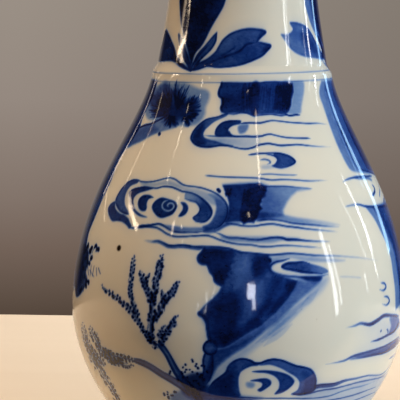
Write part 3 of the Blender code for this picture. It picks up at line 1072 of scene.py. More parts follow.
def comma_cloud():
    wash(comma, 0.6, pool=0.3)
    stroke(comma_line, (0.9, 0.8, 0.8, 0.8, 0.7), (0.7, 0.75, 0.8, 0.8), (0.05, 0.2))
    stroke(comma_rim, 0.7, 0.7, (0.3, 0.2))
    stroke(comma_curl, 0.9, 0.5, (0.2, 0.3))
    # A pale wash painted in as a glint on the glaze.
    haze(comma_painted_glint, 0.14, 1.0)


upper_stream = [
    (205, 175.5), (213, 176.2), (225, 177), (240, 177.5), (255, 178), (261, 178.5), (271, 180),
    (283, 179.6), (295, 180), (309, 181), (320, 180.6), (328, 180.4),
]
short_stream = [(259.5, 174.6), (270, 174.1), (281, 174.8), (297.1, 175.2)]


def upper_streams():
    stroke(upper_stream, 0.75, (0.6, 0.65, 0.6, 0.7, 0.6, 0.5, 0.05), (0.03, 0.05))
    stroke(short_stream, 0.65, 0.5, (0.1, 0.1))


arch_cloud()
comma_cloud()
upper_streams()


# The great scroll cloud and the rock beside it. The cloud is coiled like a snail inside two wavy
# outlines, and its lower line runs on as the first of the streams.
scroll_lobe = [
    (115, 201.6), (110.8, 203.9), (108.3, 207.8), (108.3, 212.8), (110, 217.8), (112.6, 221),
    (117.5, 220.8), (122.5, 222), (126.7, 225.3), (129.2, 228.4), (131.4, 226.4), (129.6, 222),
    (128.3, 218.7), (124.2, 215.2), (120, 213.7), (116.4, 210.3), (115, 206.6),
]
scroll_side = [
    (115.8, 200.4), (117, 196.2), (119.2, 192.4), (123.3, 187), (127.5, 182.8), (132.5, 180.4),
    (137, 180.4), (138, 182.6), (131.7, 185.3), (128.3, 188.7), (125.8, 193.7), (124.6, 199.5),
    (125, 205.3), (127.5, 210.3), (128.6, 214), (124.2, 213), (120, 210.3), (117.5, 206.2),
]
scroll_inner_side = [
    (129.2, 192), (133.3, 189.6), (140, 187.8), (146, 187.2), (153, 188.4), (146, 190.8), (139, 193),
    (134.6, 196.6), (133.2, 201), (134, 206), (136.4, 211), (141, 214.6), (147, 217.2), (139.6, 216),
    (133.6, 211), (130.6, 205), (130, 198),
]
scroll_outline = [
    (115.8, 203), (115.8, 199.5), (119.2, 192.6), (123.3, 186.8), (127.5, 182.6), (132.5, 180.1),
    (136.7, 179.8), (140.8, 181.4), (146.7, 182), (153.3, 181.4), (159.2, 180.1), (165, 178.5),
    (170, 177.9), (175, 179.3), (179.2, 182.2), (183.3, 184.8), (188.3, 186), (195.8, 186.9),
    (202.5, 188.2), (210, 190.7), (216.7, 193.9), (222.5, 198.5), (226.7, 204.5), (227.6, 211.2),
    (225.8, 218.7), (221, 225.1), (214.4, 229.5),
]
scroll_lobe_line = [(115.6, 202), (117.2, 206.4), (120, 210.6), (124.4, 213.2), (129, 214.4)]
scroll_ring = [
    (129.2, 192), (133.3, 189.4), (140, 187.7), (145, 187), (150, 187.7), (156.7, 188.2), (161.7, 186.9),
    (166.7, 186.5), (172.5, 187.4), (177.5, 189.4), (182.5, 191.5), (188.3, 192.3), (194.2, 194),
    (200, 197.3), (205.8, 202), (210, 207), (211.8, 212), (210.1, 217), (205.8, 221.2), (200.8, 222.4),
    (195.8, 221.4),
]
scroll_roof = [
    (141, 182.8), (155.3, 182.6), (168.6, 180.4), (179, 184.4), (186, 187.8), (196.1, 189.2),
    (208, 192.6), (218, 198), (222.6, 204), (214, 205), (206, 200.6), (197, 194.6), (184.9, 190.6),
    (172, 186), (162, 185.4), (154.3, 186.6), (143, 185.6),
]
scroll_cheek = [
    (226.6, 205), (227.4, 211.4), (225.6, 218.6), (221, 225), (214, 229.4), (205.8, 229.2),
    (202.5, 226.6), (209, 223.8), (213.6, 217.5), (216, 210.5), (216, 204), (213.6, 198.4), (208, 194),
    (216.7, 194.4), (222.5, 198.9),
]
scroll_crescent = [
    (195.8, 221.2), (200.8, 222.2), (205.8, 221), (210, 217), (211.6, 212), (210, 207), (205.8, 202),
    (200, 197.4), (194.2, 194.2), (186, 192.6), (185, 198.7), (190, 200.8), (195.8, 202.4),
    (199.2, 206.2), (200, 210.3), (197.5, 214.5), (193.3, 217.8),
]
scroll_crescent_heart = [
    (197, 220.4), (205, 219.6), (209.6, 213), (207.6, 206), (203, 202), (200.4, 206), (200.6, 212),
]
scroll_inner_edge = [
    (184.6, 198.6), (190, 200.7), (195.8, 202.3), (199.2, 206.2), (200, 210.3), (197.5, 214.5),
    (193.3, 217.8), (195.8, 221.4),
]
scroll_comma = [
    (153.3, 197.8), (150, 195.2), (145, 195), (140.8, 197), (138.3, 201.2), (138.3, 206.2),
    (140.8, 210.3), (145, 210.8), (146.7, 207.8), (146.7, 203.7), (148.3, 199.5), (151.7, 197.8),
]
snail = [
    (167.5, 198.9), (161.7, 197.8), (157.5, 199.5), (153.8, 202.8), (152, 207), (153.8, 212),
    (157.5, 216.2), (161.7, 217.8), (166.7, 216.6), (172.5, 214), (175.8, 209.5), (177, 205.3),
    (174.6, 201.6),
]
snail_coil = [
    (168.3, 200.4), (164.4, 201.6), (162.2, 204.8), (163, 208.6), (167, 210.8), (171.2, 210),
    (173.9, 206.6), (172.6, 203.6), (169.6, 203.2), (167.4, 205.4), (169, 207.4),
]
small_crescent = [
    (180.8, 202.4), (185, 202.8), (187.7, 206.2), (187.9, 209.7), (185.8, 213.7), (181.7, 216.4),
    (178.6, 216.4), (180, 213.7), (182.5, 210.3), (183, 206.2),
]
upper_first = [
    (138.3, 226), (143.3, 225.8), (150, 225.2), (156, 224.2), (160, 224.2), (164, 226), (168.3, 229),
    (173.3, 231.4), (180, 232.4), (188.3, 232.4), (197, 232.4), (204, 231.4),
]
first_stream = [
    (130, 228), (134.6, 227.8), (139, 227.4), (145, 226.8), (151, 226.8), (156.7, 227.8), (161.7, 230.3),
    (166.7, 233.7), (173.3, 236.2), (181.7, 236.7), (190, 236.2), (198.3, 235.8), (206.7, 235.5),
    (213.3, 237.2), (220, 240), (228.3, 242.4), (235, 243.8), (243.2, 244.6), (252.3, 245.1),
    (259.5, 246.4), (268.6, 246.8), (277.7, 245.9), (286.8, 245.5), (296, 245.9), (306.8, 246.8),
    (320.5, 247.7),
]
stream_shade = [
    (160, 224.8), (166, 227.8), (173.3, 231.4), (182, 232.4), (196, 232), (205, 230.8), (212, 229.4),
    (202, 227.6), (190, 227.4), (180, 226.8), (170, 225.4),
]


def lift_out(points, width, share, tips=(0.1, 0.1)):
    """A line wiped clear through a wash with a damp brush."""
    before = sheet.copy()
    sheet[:] = 0
    stroke(points, width, share, tips)
    sheet[:] = before * (1 - sheet)


def scroll_cloud():
    wash(scroll_lobe, 0.66, pool=0.35)
    wash(scroll_side, 0.56, pool=0.3)
    wash(scroll_inner_side, 0.7, pool=0.25)
    stroke(scroll_outline, (0.8, 0.7, 0.7, 0.75, 0.7), (0.85, 0.75, 0.75, 0.75, 0.85), (0.05, 0.05))
    stroke(scroll_lobe_line, 0.8, 0.75)
    stroke(scroll_ring, (0.8, 0.75, 0.75, 0.75, 0.9, 0.8), 0.82, (0.05, 0.1))
    haze(scroll_roof, 0.2, 1.0)
    wash(scroll_cheek, 0.7, ((223, 224), (210, 197), 0.22), soft=0.7, pool=0.1)
    wash(scroll_crescent, 0.62, ((206, 212), (188, 196), 0.3), pool=0.3)
    haze(scroll_crescent_heart, 0.2, 1.4)
    stroke(scroll_inner_edge, 0.7, (0.5, 0.6, 0.8, 0.8), (0.2, 0.1))
    wash(scroll_comma, 0.76, pool=0.3)
    wash(snail, 0.76, pool=0.3)
    lift_out(snail_coil, 0.9, 0.75)
    wash(small_crescent, 0.7, pool=0.3)
    haze(stream_shade, 0.42, 0.8)
    stroke(upper_first, (1.2, 1.0, 0.7, 0.7), (0.8, 0.8, 0.75, 0.6), (0.05, 0.1))
    widths = (1.1, 0.9, 0.8, 0.8, 0.8, 0.8, 0.7, 0.6)
    stroke(first_stream, widths, (0.8, 0.78, 0.78, 0.75, 0.7, 0.65, 0.6, 0.35), (0.02, 0.05))


block = [
    (222.6, 185.4), (236, 184.6), (250, 183.8), (259.5, 183.2), (266.8, 186.6), (266, 192),
    (261.4, 199.5), (259.5, 204), (261.8, 208.6), (258.6, 213.2), (256.8, 218.6), (250, 222.4),
    (240, 221.6), (232, 221.6), (224.5, 222.6), (227, 217.7), (228.6, 211.4), (229, 203.2),
    (227.7, 197.7), (225, 191),
]
block_blot = [
    (248.6, 188.6), (256, 186.4), (263.2, 186.6), (266.8, 190.5), (264.6, 193.4), (265.6, 196),
    (261, 199.5), (262, 202), (259, 204.6), (262, 208.6), (258, 211.4), (259, 214), (256.4, 218),
    (254, 223), (248.6, 221.8), (243.6, 224.4), (240.5, 220.5), (239.5, 213), (241.4, 206), (244, 200.5),
    (245, 193),
]
block_haze = [
    (262, 186.6), (278, 186.2), (296, 188), (310, 189), (297, 191.4), (291.4, 196), (287, 202),
    (283, 210), (283.4, 215.4), (272, 218.4), (257, 219), (257, 212), (261, 204), (263, 196),
]
block_foot = [
    (256, 213.6), (270, 212.6), (283, 214.6), (296, 217.4), (310, 219.2), (324, 221.2), (340, 225),
    (322, 226.2), (304, 224.6), (292, 223.4), (282, 221.2), (269, 219.6), (257, 221),
]
block_sprigs = [
    [(224.6, 188.6), (226.6, 192), (225.8, 196.4)],
    [(227.6, 188), (228, 192.6), (230.2, 197.2)],
    [(231.4, 188.4), (230, 192), (231.6, 195.4)],
    [(225, 193), (228.4, 195.6)],
]
block_line = [
    (259.5, 186.9), (268.6, 186.5), (277.7, 186.5), (286.8, 186.5), (296, 187.4), (305, 188.2),
    (312.3, 188.9),
]
block_foot_line = [
    (257, 221), (262, 220.2), (268.6, 219.6), (277.7, 220.2), (285, 221.5), (292.3, 223.2),
    (301.4, 224.1), (314, 225), (325, 226.2), (339, 227),
]
block_dot = [(218, 189.6), (219.6, 191.4)]
block_top = [
    (222, 183.8), (240, 182.4), (259, 181.6), (268, 184.6), (266.6, 187.4), (259.5, 184), (240, 185),
    (223, 186.6),
]
block_shore = [
    (205.8, 229), (214, 229.8), (221.4, 225.6), (226, 222.6), (233, 222.6), (240, 223.4), (232, 224.6),
    (225, 227), (218, 231), (210, 233), (203, 232),
]


def lower_rock():
    haze(block_top, 0.26, 0.8, smooth=False)
    haze(block_haze, 0.46, 1.2, ((262, 208), (300, 192), 0.3), smooth=False)
    haze(block_foot, 0.42, 0.9, ((258, 216), (340, 226), 0.1))
    wash(block, 0.75, smooth=False, pool=0.1)
    wash(block_blot, 0.82, smooth=False, pool=0.05, soft=0.7)
    cracks(245, 263, 187.5, 221, 6.0, 1.8, 1.2, 0.5)
    for sprig in block_sprigs:
        stroke(sprig, 1.0, 0.75, (0.1, 0.2))
    stroke(block_line, 0.8, (0.7, 0.65, 0.6, 0.4, 0.3), (0.02, 0.1))
    stroke(block_foot_line, 0.75, (0.6, 0.6, 0.6, 0.55, 0.15), (0.05, 0.1))
    stroke(block_dot, 1.5, 0.95, (0, 0))
    haze(block_shore, 0.6, 0.8)


streams = [
    ([(226.8, 223.4), (235, 224.5), (244, 226), (255, 226), (263.2, 224.6), (272.3, 224), (279.5, 225),
      (286.8, 226.4), (296, 227.3), (305, 228.6), (318.6, 230), (337.7, 231.8)],
     (0.8, 0.8, 1.0, 0.8, 0.7), (0.5, 0.7, 0.65, 0.7, 0.55, 0.1)),
    ([(214, 232), (221, 234.6), (228, 237.6), (236.8, 237.9), (243.2, 238.6), (256, 240), (264, 239),
      (271.4, 237.8), (277.7, 237.4), (283.2, 238.2), (286.8, 239.6), (296, 239.8), (309.5, 241),
      (321.4, 241.4), (331, 241.6)], (0.8, 0.9, 0.9, 1.0, 1.3, 0.8, 0.7),
     (0.5, 0.65, 0.7, 0.7, 0.82, 0.6, 0.1)),
    ([(143.3, 240.3), (151.7, 241.6), (158.3, 241.6), (163.3, 243.7), (168.3, 246.2), (175, 246.6),
      (183.3, 246.2), (191.7, 247.4), (202.5, 248.5)], (0.9, 1.6, 1.9, 2.0, 2.0, 2.0),
     (0.08, 0.4, 0.5, 0.5, 0.55)),
    ([(152, 241.4), (158.3, 241.2), (163.3, 243.1), (168.3, 245.4), (175, 245.5), (183.3, 245.1),
      (191.7, 246.2)], 0.7, (0.5, 0.75, 0.8)),
    ([(190, 246.4), (205, 247), (214, 247.2), (221.4, 247.7), (228.6, 248.6), (235, 250.5),
      (241.4, 252.3), (250.5, 253.2), (259.5, 254), (270.5, 255), (280.5, 254.3), (289.5, 253.6),
      (299.5, 254), (309.5, 255), (318.6, 255.6), (337, 256), (350.5, 257), (362, 258), (378, 260.6)],
     (1.2, 1.1, 0.9, 1.0, 0.8, 0.7), (0.65, 0.78, 0.78, 0.75, 0.55, 0.2, 0.06)),
    ([(340, 276.7), (350, 276.9), (361, 277.8)], 0.7, 0.12),
    ([(345, 206.7), (352, 205.2), (359, 204.6), (366, 206.4), (379, 206.7), (388, 205.6)],
     (0.7, 1.2, 1.0), (0.3, 0.6, 0.65)),
]
stream_glow = [
    (262, 256.6), (275, 256.8), (290, 255.4), (310, 257), (330, 258.6), (345, 260.6), (325, 262),
    (305, 261), (290, 258), (276, 261), (270, 264),
]
stream_veil = [
    (222, 236), (240, 236.4), (262, 236.4), (284, 237), (300, 238.6), (284, 240.4), (270, 243),
    (250, 243), (232, 241.6), (222, 239),
]


def middle_streams():
    for line, width, ink in streams:
        stroke(line, width, ink, (0.06, 0.05))
    haze(stream_glow, 0.22, 0.9)
    haze(stream_veil, 0.27, 1.0)


lower_rock()
scroll_cloud()
middle_streams()


# The cliff and the shore under it. Several washes lie one over the other, and soft lights are
# lifted out of the dark ones with a damp brush. A leaf-shaped cloud stands beside the cliff.
cliff = [
    (204, 248.2), (203.5, 250.4), (198.4, 256.5), (198.9, 260.6), (201.9, 263.2), (206.4, 263.4),
    (208.6, 266), (210.5, 271.4), (214, 276), (215, 280.5), (216.8, 282.5), (219.5, 284), (221.6, 286.6),
    (218.6, 292.5), (212.3, 299), (204, 306), (198.8, 312.4), (199, 314.6), (203.2, 316.4),
    (206.8, 321.6), (207.7, 329.8), (208.6, 336.2), (210.4, 341), (217.7, 348.2), (223.2, 347.6),
    (229.5, 345.1), (237.7, 339.6), (245.9, 334.2), (254, 329.6), (260.5, 326), (267.7, 319.6),
    (275, 313.3), (282.3, 305.1), (288.6, 297.8), (293.2, 289.6), (297.3, 281), (286.1, 277.9),
    (278, 275.4), (271.8, 272.4), (269.6, 268), (270.6, 262), (268, 255.6), (251.4, 254.4),
    (241.2, 252.8), (233.1, 250.4), (222.9, 249), (213.7, 248.3),
]
cliff_shadows = [
    ([(203, 249.5), (213, 249), (223, 249.8), (233, 251), (235, 255), (233, 259), (234.6, 262),
      (230, 265), (231, 269), (227, 273), (228.4, 277), (224.6, 281), (224, 286), (216, 281), (213, 274),
      (210, 266), (200, 261)], 0.72, 0.8),
    ([(256, 255.6), (268.4, 257), (269, 268), (264, 275), (254, 278), (252, 268)], 0.62, 1.8),
    ([(274, 277), (282, 278), (285, 284), (280, 293), (274, 302), (268, 310), (258, 320), (250, 324),
      (258, 312), (266, 300), (271, 288)], 0.55, 2.0),
    ([(287, 279.4), (297, 281.5), (294, 289), (286, 300), (275, 311), (266, 317), (274, 304), (283, 292)],
     0.7, 1.3),
    ([(222, 292), (232, 290), (240, 300), (240, 314), (238, 326), (230, 338), (216, 345), (210, 338),
      (208, 326), (202, 315), (212, 302)], 0.6, 2.8),
    ([(258, 318), (262, 324), (248, 333), (236, 340), (224, 346.6), (216, 345), (226, 336), (240, 328),
      (250, 320)], 0.74, 1.6),
]
cliff_lights = [
    [(247, 257), (246, 268), (240, 280), (234, 290)],
    [(262, 282), (258, 292), (252, 304), (250, 314)],
    [(244, 254), (243, 262), (236, 272)],
    [(284, 281), (279, 290), (272, 300)],
]
cliff_edges = [
    [(204, 248.4), (203.3, 251), (198.8, 256.5), (199, 260.6), (202, 263.2), (206.6, 263.6),
     (208.8, 266.2), (210.6, 271.4), (214.2, 276), (215.2, 280.5), (217, 282.6), (221.4, 286.4)],
    [(199, 312), (199.4, 314.6), (203.4, 316.6), (206.8, 322), (207.8, 330), (208.8, 336.4), (211, 343)],
]
cliff_dot = [(269.8, 259.8), (270.2, 261)]
slope = [
    (297.6, 280.2), (308, 281.5), (320.5, 279.8), (313.2, 288), (304, 296.2), (295, 304.4), (286, 313.5),
    (276.8, 322.5), (267.7, 329), (258.6, 336.2), (249.5, 343.5), (240.5, 349.8), (231.4, 355.3),
    (222.3, 362.5), (216, 369), (212.3, 376.2), (208.6, 382.5), (205, 378), (209, 366), (212, 354),
    (218, 348.6), (226, 347.4), (236, 341), (249, 333), (259, 327), (269, 318.2), (277, 310),
    (285.2, 301.8), (291.4, 292.6),
]
slope_foot = [
    (212, 352), (220, 349), (234, 344), (250, 336), (262, 328), (262, 332), (248, 343), (234, 353),
    (223, 361.6), (216, 369), (209, 381), (205, 374),
]
slope_mist = [
    (320.5, 279.5), (328, 279), (322, 290), (312, 300), (300, 311), (286, 323), (270, 337), (252, 351),
    (236, 362), (222, 374), (212, 384), (216, 370), (232, 356), (250, 343.6), (268, 329.4), (287, 313),
    (305, 296),
]
mist_lines = [
    [(308, 298), (296, 309), (284, 320), (270, 332), (256, 343)],
    [(302, 309), (288, 321), (274, 333), (262, 342)],
    [(292, 324), (278, 335), (264, 346)],
    [(318, 290), (309, 300), (300, 308)],
]
stone = [
    (203.2, 348), (204.2, 344.6), (206.4, 342.2), (211.4, 339.8), (216.4, 341.6), (217.4, 346),
    (216.8, 350), (214.6, 353.5), (209.5, 354.4), (205, 352.5),
]
stone_line = [
    (212, 339.8), (206.2, 342.2), (203.4, 347.6), (205.2, 352.4), (209.6, 354.5), (214.8, 353.4),
    (217.2, 349),
]
shore = [
    (205, 354), (212, 355), (212.8, 364), (211.8, 372.5), (209.5, 379), (206, 384), (203.4, 383),
    (203.8, 373), (202.6, 363),
]
shore_lines = [
    [(212.2, 354.4), (212.8, 364.4), (211.9, 372.5), (209.6, 379), (206, 385)],
    [(205, 353.4), (203.2, 361), (204, 370), (202, 378), (203, 384)],
]


def cliff_and_shore():
    haze(slope, 0.5, 1.2, ((216, 366), (300, 290), 0.42))
    haze(slope_foot, 0.36, 1.6)
    haze(slope_mist, 0.18, 2.4)
    for line in mist_lines:
        stroke(line, 3.4, 0.09, (0.4, 0.4))
    wash(cliff, 0.62, smooth=False, pool=0.15, soft=0.6)
    for shape, ink, soft in cliff_shadows:
        haze(shape, ink, soft, smooth=False)
    for line in cliff_lights:
        for width in (4.0, 7.0, 10.0):
            lift_out(line, width, 0.06, (0.45, 0.45))
    for edge in cliff_edges:
        stroke(edge, (1.6, 2.0, 1.8, 2.0), 0.7, (0.03, 0.1))
    stroke(cliff_dot, 1.6, 0.95, (0, 0))
    wash(stone, 0.56, pool=0.4)
    stroke(stone_line, 1.0, 0.88, (0.05, 0.2))
    wash(shore, 0.48, soft=0.9)
    for line in shore_lines:
        stroke(line, 0.9, 0.8, (0.03, 0.2))


leaf_eye = [
    (281.4, 267.3), (284, 265), (288.6, 263.2), (296, 262.7), (303.2, 262), (309.5, 263.6), (318.6, 266),
    (326, 269), (328, 272), (322.3, 274), (314, 273.2), (305, 272.3), (299.5, 271.4), (292.3, 270),
    (286.8, 269),
]
leaf_eye_heart = [(290, 266), (298, 264.5), (308, 266), (309, 270.4), (300, 269.8)]
eye_line = [
    (289.5, 258.6), (283.2, 260.5), (276.8, 261.8), (272.3, 264), (270.1, 267.7), (271.5, 271.4),
    (276.8, 274), (285, 276), (294, 276.8), (301.4, 277.3), (314, 277.3), (322.3, 276), (328, 274.4),
]
eye_patch = [(301.4, 277.4), (312, 276.8), (321.8, 277), (320, 280.4), (313, 281.4), (306, 280.4)]


def eye_cloud():
    wash(leaf_eye, 0.52, ((290, 266), (324, 271), 0.4), pool=0.4)
    haze(leaf_eye_heart, 0.3, 1.8)
    stroke(leaf_eye[:6], (1.4, 1.0, 0.7), 0.78, (0.05, 0.4))
    stroke(leaf_eye[:1] + leaf_eye[:8:-1], (1.1, 1.2, 0.8), 0.75, (0.05, 0.3))
    stroke(eye_line, 2.4, 0.14, (0.2, 0.2))
    stroke(eye_line, (0.7, 1.0, 0.8, 0.9, 0.7), (0.75, 0.75, 0.65, 0.6, 0.4), (0.08, 0.1))
    wash(eye_patch, 0.7, soft=0.8)


cliff_and_shore()
eye_cloud()


# The low scroll cloud, and the water that spreads from it over the bottom of the bulb. The water
# is long thin strokes that turn up towards the right edge, with a few short dark ones among them.
low_left = [
    (213.2, 382.5), (219, 378), (226, 372.5), (228.6, 366.2), (234, 361.6), (241.4, 358.9),
    (249.5, 360.3), (255, 363), (258, 365.4), (251.4, 366.2), (245, 369), (240.5, 372.5), (238.6, 378),
    (238.6, 385.3), (239.5, 391.6), (240, 396), (230, 396.4), (216, 395), (208, 391),
]
low_left_dark = [
    (214, 384), (226, 374), (231, 366), (236, 366), (234, 374), (234, 386), (236, 394), (222, 395),
    (212, 391),
]
low_right = [
    (255, 363), (260.5, 363), (266.8, 360.7), (274, 359.4), (282.3, 360.7), (289.5, 363.5),
    (296.8, 366.2), (304, 367.5), (310.5, 369.8), (314, 374.4), (315.5, 379.8), (315, 385.3),
    (314, 389.8), (307.7, 392.5), (299.5, 394.4), (291.4, 394), (297.7, 389.8), (299.5, 382.5),
    (295.9, 377), (288.6, 372.5), (280.5, 368), (270.5, 364.8), (260.5, 365.3),
]
low_right_dark = [
    (300, 394.4), (309.7, 393.2), (314.8, 390.1), (315.4, 382.4), (313, 374.9), (306, 371), (302, 374),
    (305, 384),
]
low_outline = [
    (209, 388), (213.6, 382), (219.4, 377.6), (226, 372.4), (228.8, 366), (234.2, 361.4), (241.4, 358.8),
    (249.5, 360.2), (255, 362.9), (260.5, 362.9), (266.8, 360.5), (274, 359.3), (282.3, 360.5),
    (289.5, 363.3), (296.8, 366), (304, 367.3), (310.5, 369.6), (314.2, 374.4), (315.7, 379.8),
    (315.2, 385.3), (314, 390), (307.7, 392.7), (299.5, 394.6), (291.4, 394.2),
]
low_crescent = [
    (252.3, 371.6), (260.5, 370.5), (270.5, 370.7), (279.5, 372), (287.7, 374.8), (293.2, 378.9),
    (294, 382.5), (289.5, 388), (282.3, 392.5), (275, 394.4), (275.6, 392.4), (278.6, 388.9),
    (279.5, 383.5), (277.7, 379), (273.2, 375.3), (265.9, 373), (258.6, 372.5),
]
low_curl = [
    (250.5, 380.7), (258.6, 379), (265.9, 378.5), (270.5, 380.7), (270.9, 384.4), (266.8, 388),
    (260.5, 391.6), (257.7, 389.8), (261.4, 387), (262.3, 383.5), (258.6, 381.6),
]
# A pale wash painted inside the low cloud where the glaze shows a glint: a painted reflection.
low_painted_glint = [(246.4, 382.6), (252.6, 382.4), (255, 385), (252, 388), (247, 387)]
low_streams = [
    ([(315, 387.4), (320, 386), (334.4, 384.6), (345.6, 380.6), (356.7, 378.3), (368, 375.6), (379, 375),
      (385.6, 371), (392, 362)], (2.6, 2.4, 1.4, 0.9, 0.8, 0.8), (0.66, 0.55, 0.5, 0.5, 0.4, 0.3)),
    ([(314, 385.6), (322, 384.6), (334.4, 383.2), (346, 379.4)], 0.6, (0.85, 0.8, 0.5)),
    ([(291.8, 394.4), (306, 394), (321.2, 390.4), (333.9, 388.6), (346.7, 385.4), (359.4, 382),
      (372.2, 379.4), (382.4, 376.6), (391.3, 369.2), (399, 360.4)], (0.9, 0.8, 0.7, 0.6),
     (0.65, 0.65, 0.55, 0.45)),
    ([(232, 396.8), (262, 398.2), (290, 398.3), (312, 398.3), (329, 396), (340, 392), (352, 388.3),
      (362, 386), (374.4, 381.7)], (0.8, 0.7), (0.65, 0.6, 0.5, 0.25)),
    ([(195, 395.3), (204, 395.4), (214, 396), (226.8, 398), (250, 400.4), (289.3, 403), (320, 401.6),
      (350, 396), (376, 387)], (0.8, 0.8), 0.55),
    ([(228, 405), (262, 408), (290, 409), (322, 407), (352, 401), (380, 390)], (0.8, 0.7), 0.45),
    ([(224, 411), (260, 414), (292, 415), (322, 413), (350, 408)], (0.9, 0.8), 0.45),
]
low_pool = [
    (182, 390), (198, 386), (212, 385), (214, 394), (232, 397), (240, 400), (214, 402), (192, 399),
]
low_water = [
    (318, 389), (340, 386), (366, 378), (388, 372), (396, 362), (398, 380), (384, 394), (360, 402),
    (330, 402), (300, 400), (306, 396),
]


def low_cloud():
    haze(low_water, 0.13, 2.4)
    haze(low_pool, 0.5, 1.6)
    wash(low_left, 0.62, pool=0.15)
    haze(low_left_dark, 0.55, 2.0, smooth=False)
    wash(low_right, 0.52, ((310, 392), (270, 362), 0.5), pool=0.3)
    haze(low_right_dark, 0.4, 1.8)
    stroke(low_outline, (1.1, 1.0, 0.9, 0.9, 0.9), 0.82, (0.05, 0.05))
    wash(low_crescent, 0.62, pool=0.4)
    wash(low_curl, 0.66, pool=0.35)
    # A pale wash painted in as a glint on the glaze.
    haze(low_painted_glint, 0.3, 1.0)
    for line, width, ink in low_streams:
        stroke(line, width, ink, (0.03, 0.1))


right_strokes = [
    ([(345.6, 328), (352, 326.6), (356.7, 325), (361, 323.4), (370, 324.4), (378, 320), (384.4, 315.6),
      (393, 315.6), (399, 316)], (0.8, 1.0, 1.9, 1.6, 1.2), (0.2, 0.6, 0.8, 0.75, 0.7)),
    ([(371, 341.7), (379, 339.4), (386.7, 335.6), (394.4, 331), (399, 323)], (1.0, 1.3, 1.4), 0.75),
    ([(386.7, 329), (388, 331), (387.6, 333.4)], 0.9, 0.7),
    ([(380.6, 330.8), (381.4, 331.2)], 1.2, 0.8),
    ([(325.6, 364.4), (343, 361), (352, 356.7), (361, 353.8), (373, 350.4), (384.4, 346.4),
      (394.4, 340.8), (399, 336.7)], (0.7, 1.4, 1.2, 1.2), (0.2, 0.55, 0.7, 0.75)),
    ([(356, 358.6), (361, 357.8), (373, 355), (384.4, 352.6), (394.4, 346.7), (399, 341.4)],
     (0.8, 1.2, 1.2), (0.4, 0.7, 0.7)),
    ([(389, 359), (396.7, 353.3)], 0.8, 0.6),
    ([(343, 182), (346.7, 179.6), (355.6, 177.2), (366, 176.4), (372, 176)], (0.8, 1.2, 1.0),
     (0.4, 0.65, 0.6)),
    ([(366.7, 171.6), (372, 173), (376.7, 176), (380.6, 180), (383, 184.6), (384.4, 193), (383.6, 203)],
     (1.0, 1.3, 1.0), 0.7),
    ([(372, 184.6), (374.4, 188), (374.6, 192), (372.4, 195.6)], 1.2, 0.7),
    ([(377.6, 183), (379.6, 189), (379.6, 197)], 0.9, 0.5),
    ([(355, 178.6), (366, 178), (372, 180)], 1.6, 0.3),
]
water_band = [
    (350, 359.6), (361, 354.6), (373, 351.4), (384.4, 347.4), (394.4, 342), (399, 338), (398.6, 342),
    (393, 347.6), (384, 352.6), (373, 355.4), (361, 358),
]
water_head = [(390, 318), (398, 317), (399, 326), (394, 331), (389, 333), (391, 326)]
water_veil = [
    (352, 330), (368, 326), (384, 320), (396, 332), (392, 340), (372, 349), (356, 354), (350, 342),
]
curls = [
    [(380.6, 283), (384.4, 283.4), (386, 287), (383.4, 290.4), (379.6, 289.6)],
    [(383.6, 296.4), (387.6, 297), (389.4, 301), (386.6, 305), (382.4, 304.2)],
]


def far_strokes():
    for line, width, ink in right_strokes:
        stroke(line, width, ink, (0.2, 0.05))
    haze(water_band, 0.45, 0.8, ((352, 358), (392, 346), 0.62))
    haze(water_head, 0.45, 1.2)
    haze(water_veil, 0.09, 3.0, ((394, 334), (352, 336), 0.0))
    for curl in curls:
        stroke(curl, (0.6, 1.1, 0.7), 0.7, (0.15, 0.4))


low_cloud()
far_strokes()


# Sprays of leaves. A fork of thin stems rises from mossy ground, each set on both sides with dabs of
# the brush tip. They are in the thickest pigment, which fires nearly black, so a second sheet keeps
# where it lies.
sprays = [
    ([(101, 285), (108, 291), (116, 297), (124, 304), (131, 311), (138, 321), (145, 332), (152, 342),
      (158, 348)], 1.0),
    ([(134, 255), (133, 265), (132, 274), (131, 282), (130, 290), (131, 298), (134, 306), (138, 316)],
     0.9),
    ([(162, 254), (161, 259), (159.5, 267), (158, 274), (156, 282), (155, 290), (153, 300), (152, 310),
      (151, 321), (151, 332), (153, 342)], 1.2),
    ([(139, 271), (143, 278), (145, 285), (149, 294), (151, 302)], 1.15),
    ([(149.5, 273), (147, 278), (144, 284)], 1.0),
    ([(179, 281), (175, 287), (172, 293), (167, 298), (162, 306), (158, 314), (154, 322)], 1.15),
    ([(161, 290), (163, 297), (165, 304)], 1.0),
    ([(178, 315), (174, 321), (172, 326), (168, 332), (164, 338), (160, 345)], 1.1),
    ([(165, 325), (161, 332), (159, 338)], 1.0),
    ([(82, 322), (84, 331), (86, 341), (91, 352), (97, 360)], 1.0),
    ([(89, 326), (93, 334), (97, 342), (101, 350), (108, 355)], 1.15),
    ([(135, 361), (128, 359), (120, 357.5), (112, 355), (104, 351)], 1.15),
    ([(134, 365), (126, 366), (118, 363), (109, 361)], 1.0),
    ([(94, 354), (98, 363), (102, 373), (108, 382), (113, 390), (117, 400)], 1.1),
    ([(90, 346), (94, 353), (100, 359), (104, 366)], 1.1),
    ([(86, 336), (89, 346), (92, 358), (98, 369)], 1.2),
    ([(98, 352), (106, 356), (112, 360), (122, 362)], 1.1),
]
blackened = np.zeros_like(sheet)


def thick_since(before):
    """Keeps what was laid since the sheet was as before on the second sheet."""
    blackened[:] = np.maximum(blackened, sheet - before)


def dab(x, y, heading, length, width, ink):
    dx, dy = math.cos(heading) * length / 2, math.sin(heading) * length / 2
    pressed = (width * 0.9, width * 1.1, width * 0.8)
    stroke([(x - dx, y - dy), (x, y), (x + dx, y + dy)], pressed, ink, (0.1, 0.2))


def dabs(places, scatter, headings, length, widths, ink):
    """Two dabs close to each place."""
    for x, y in places:
        for _ in range(2):
            dx, dy = hand.uniform(-scatter, scatter, 2)
            dab(x + dx, y + dy, hand.uniform(*headings), length, hand.uniform(*widths), ink)


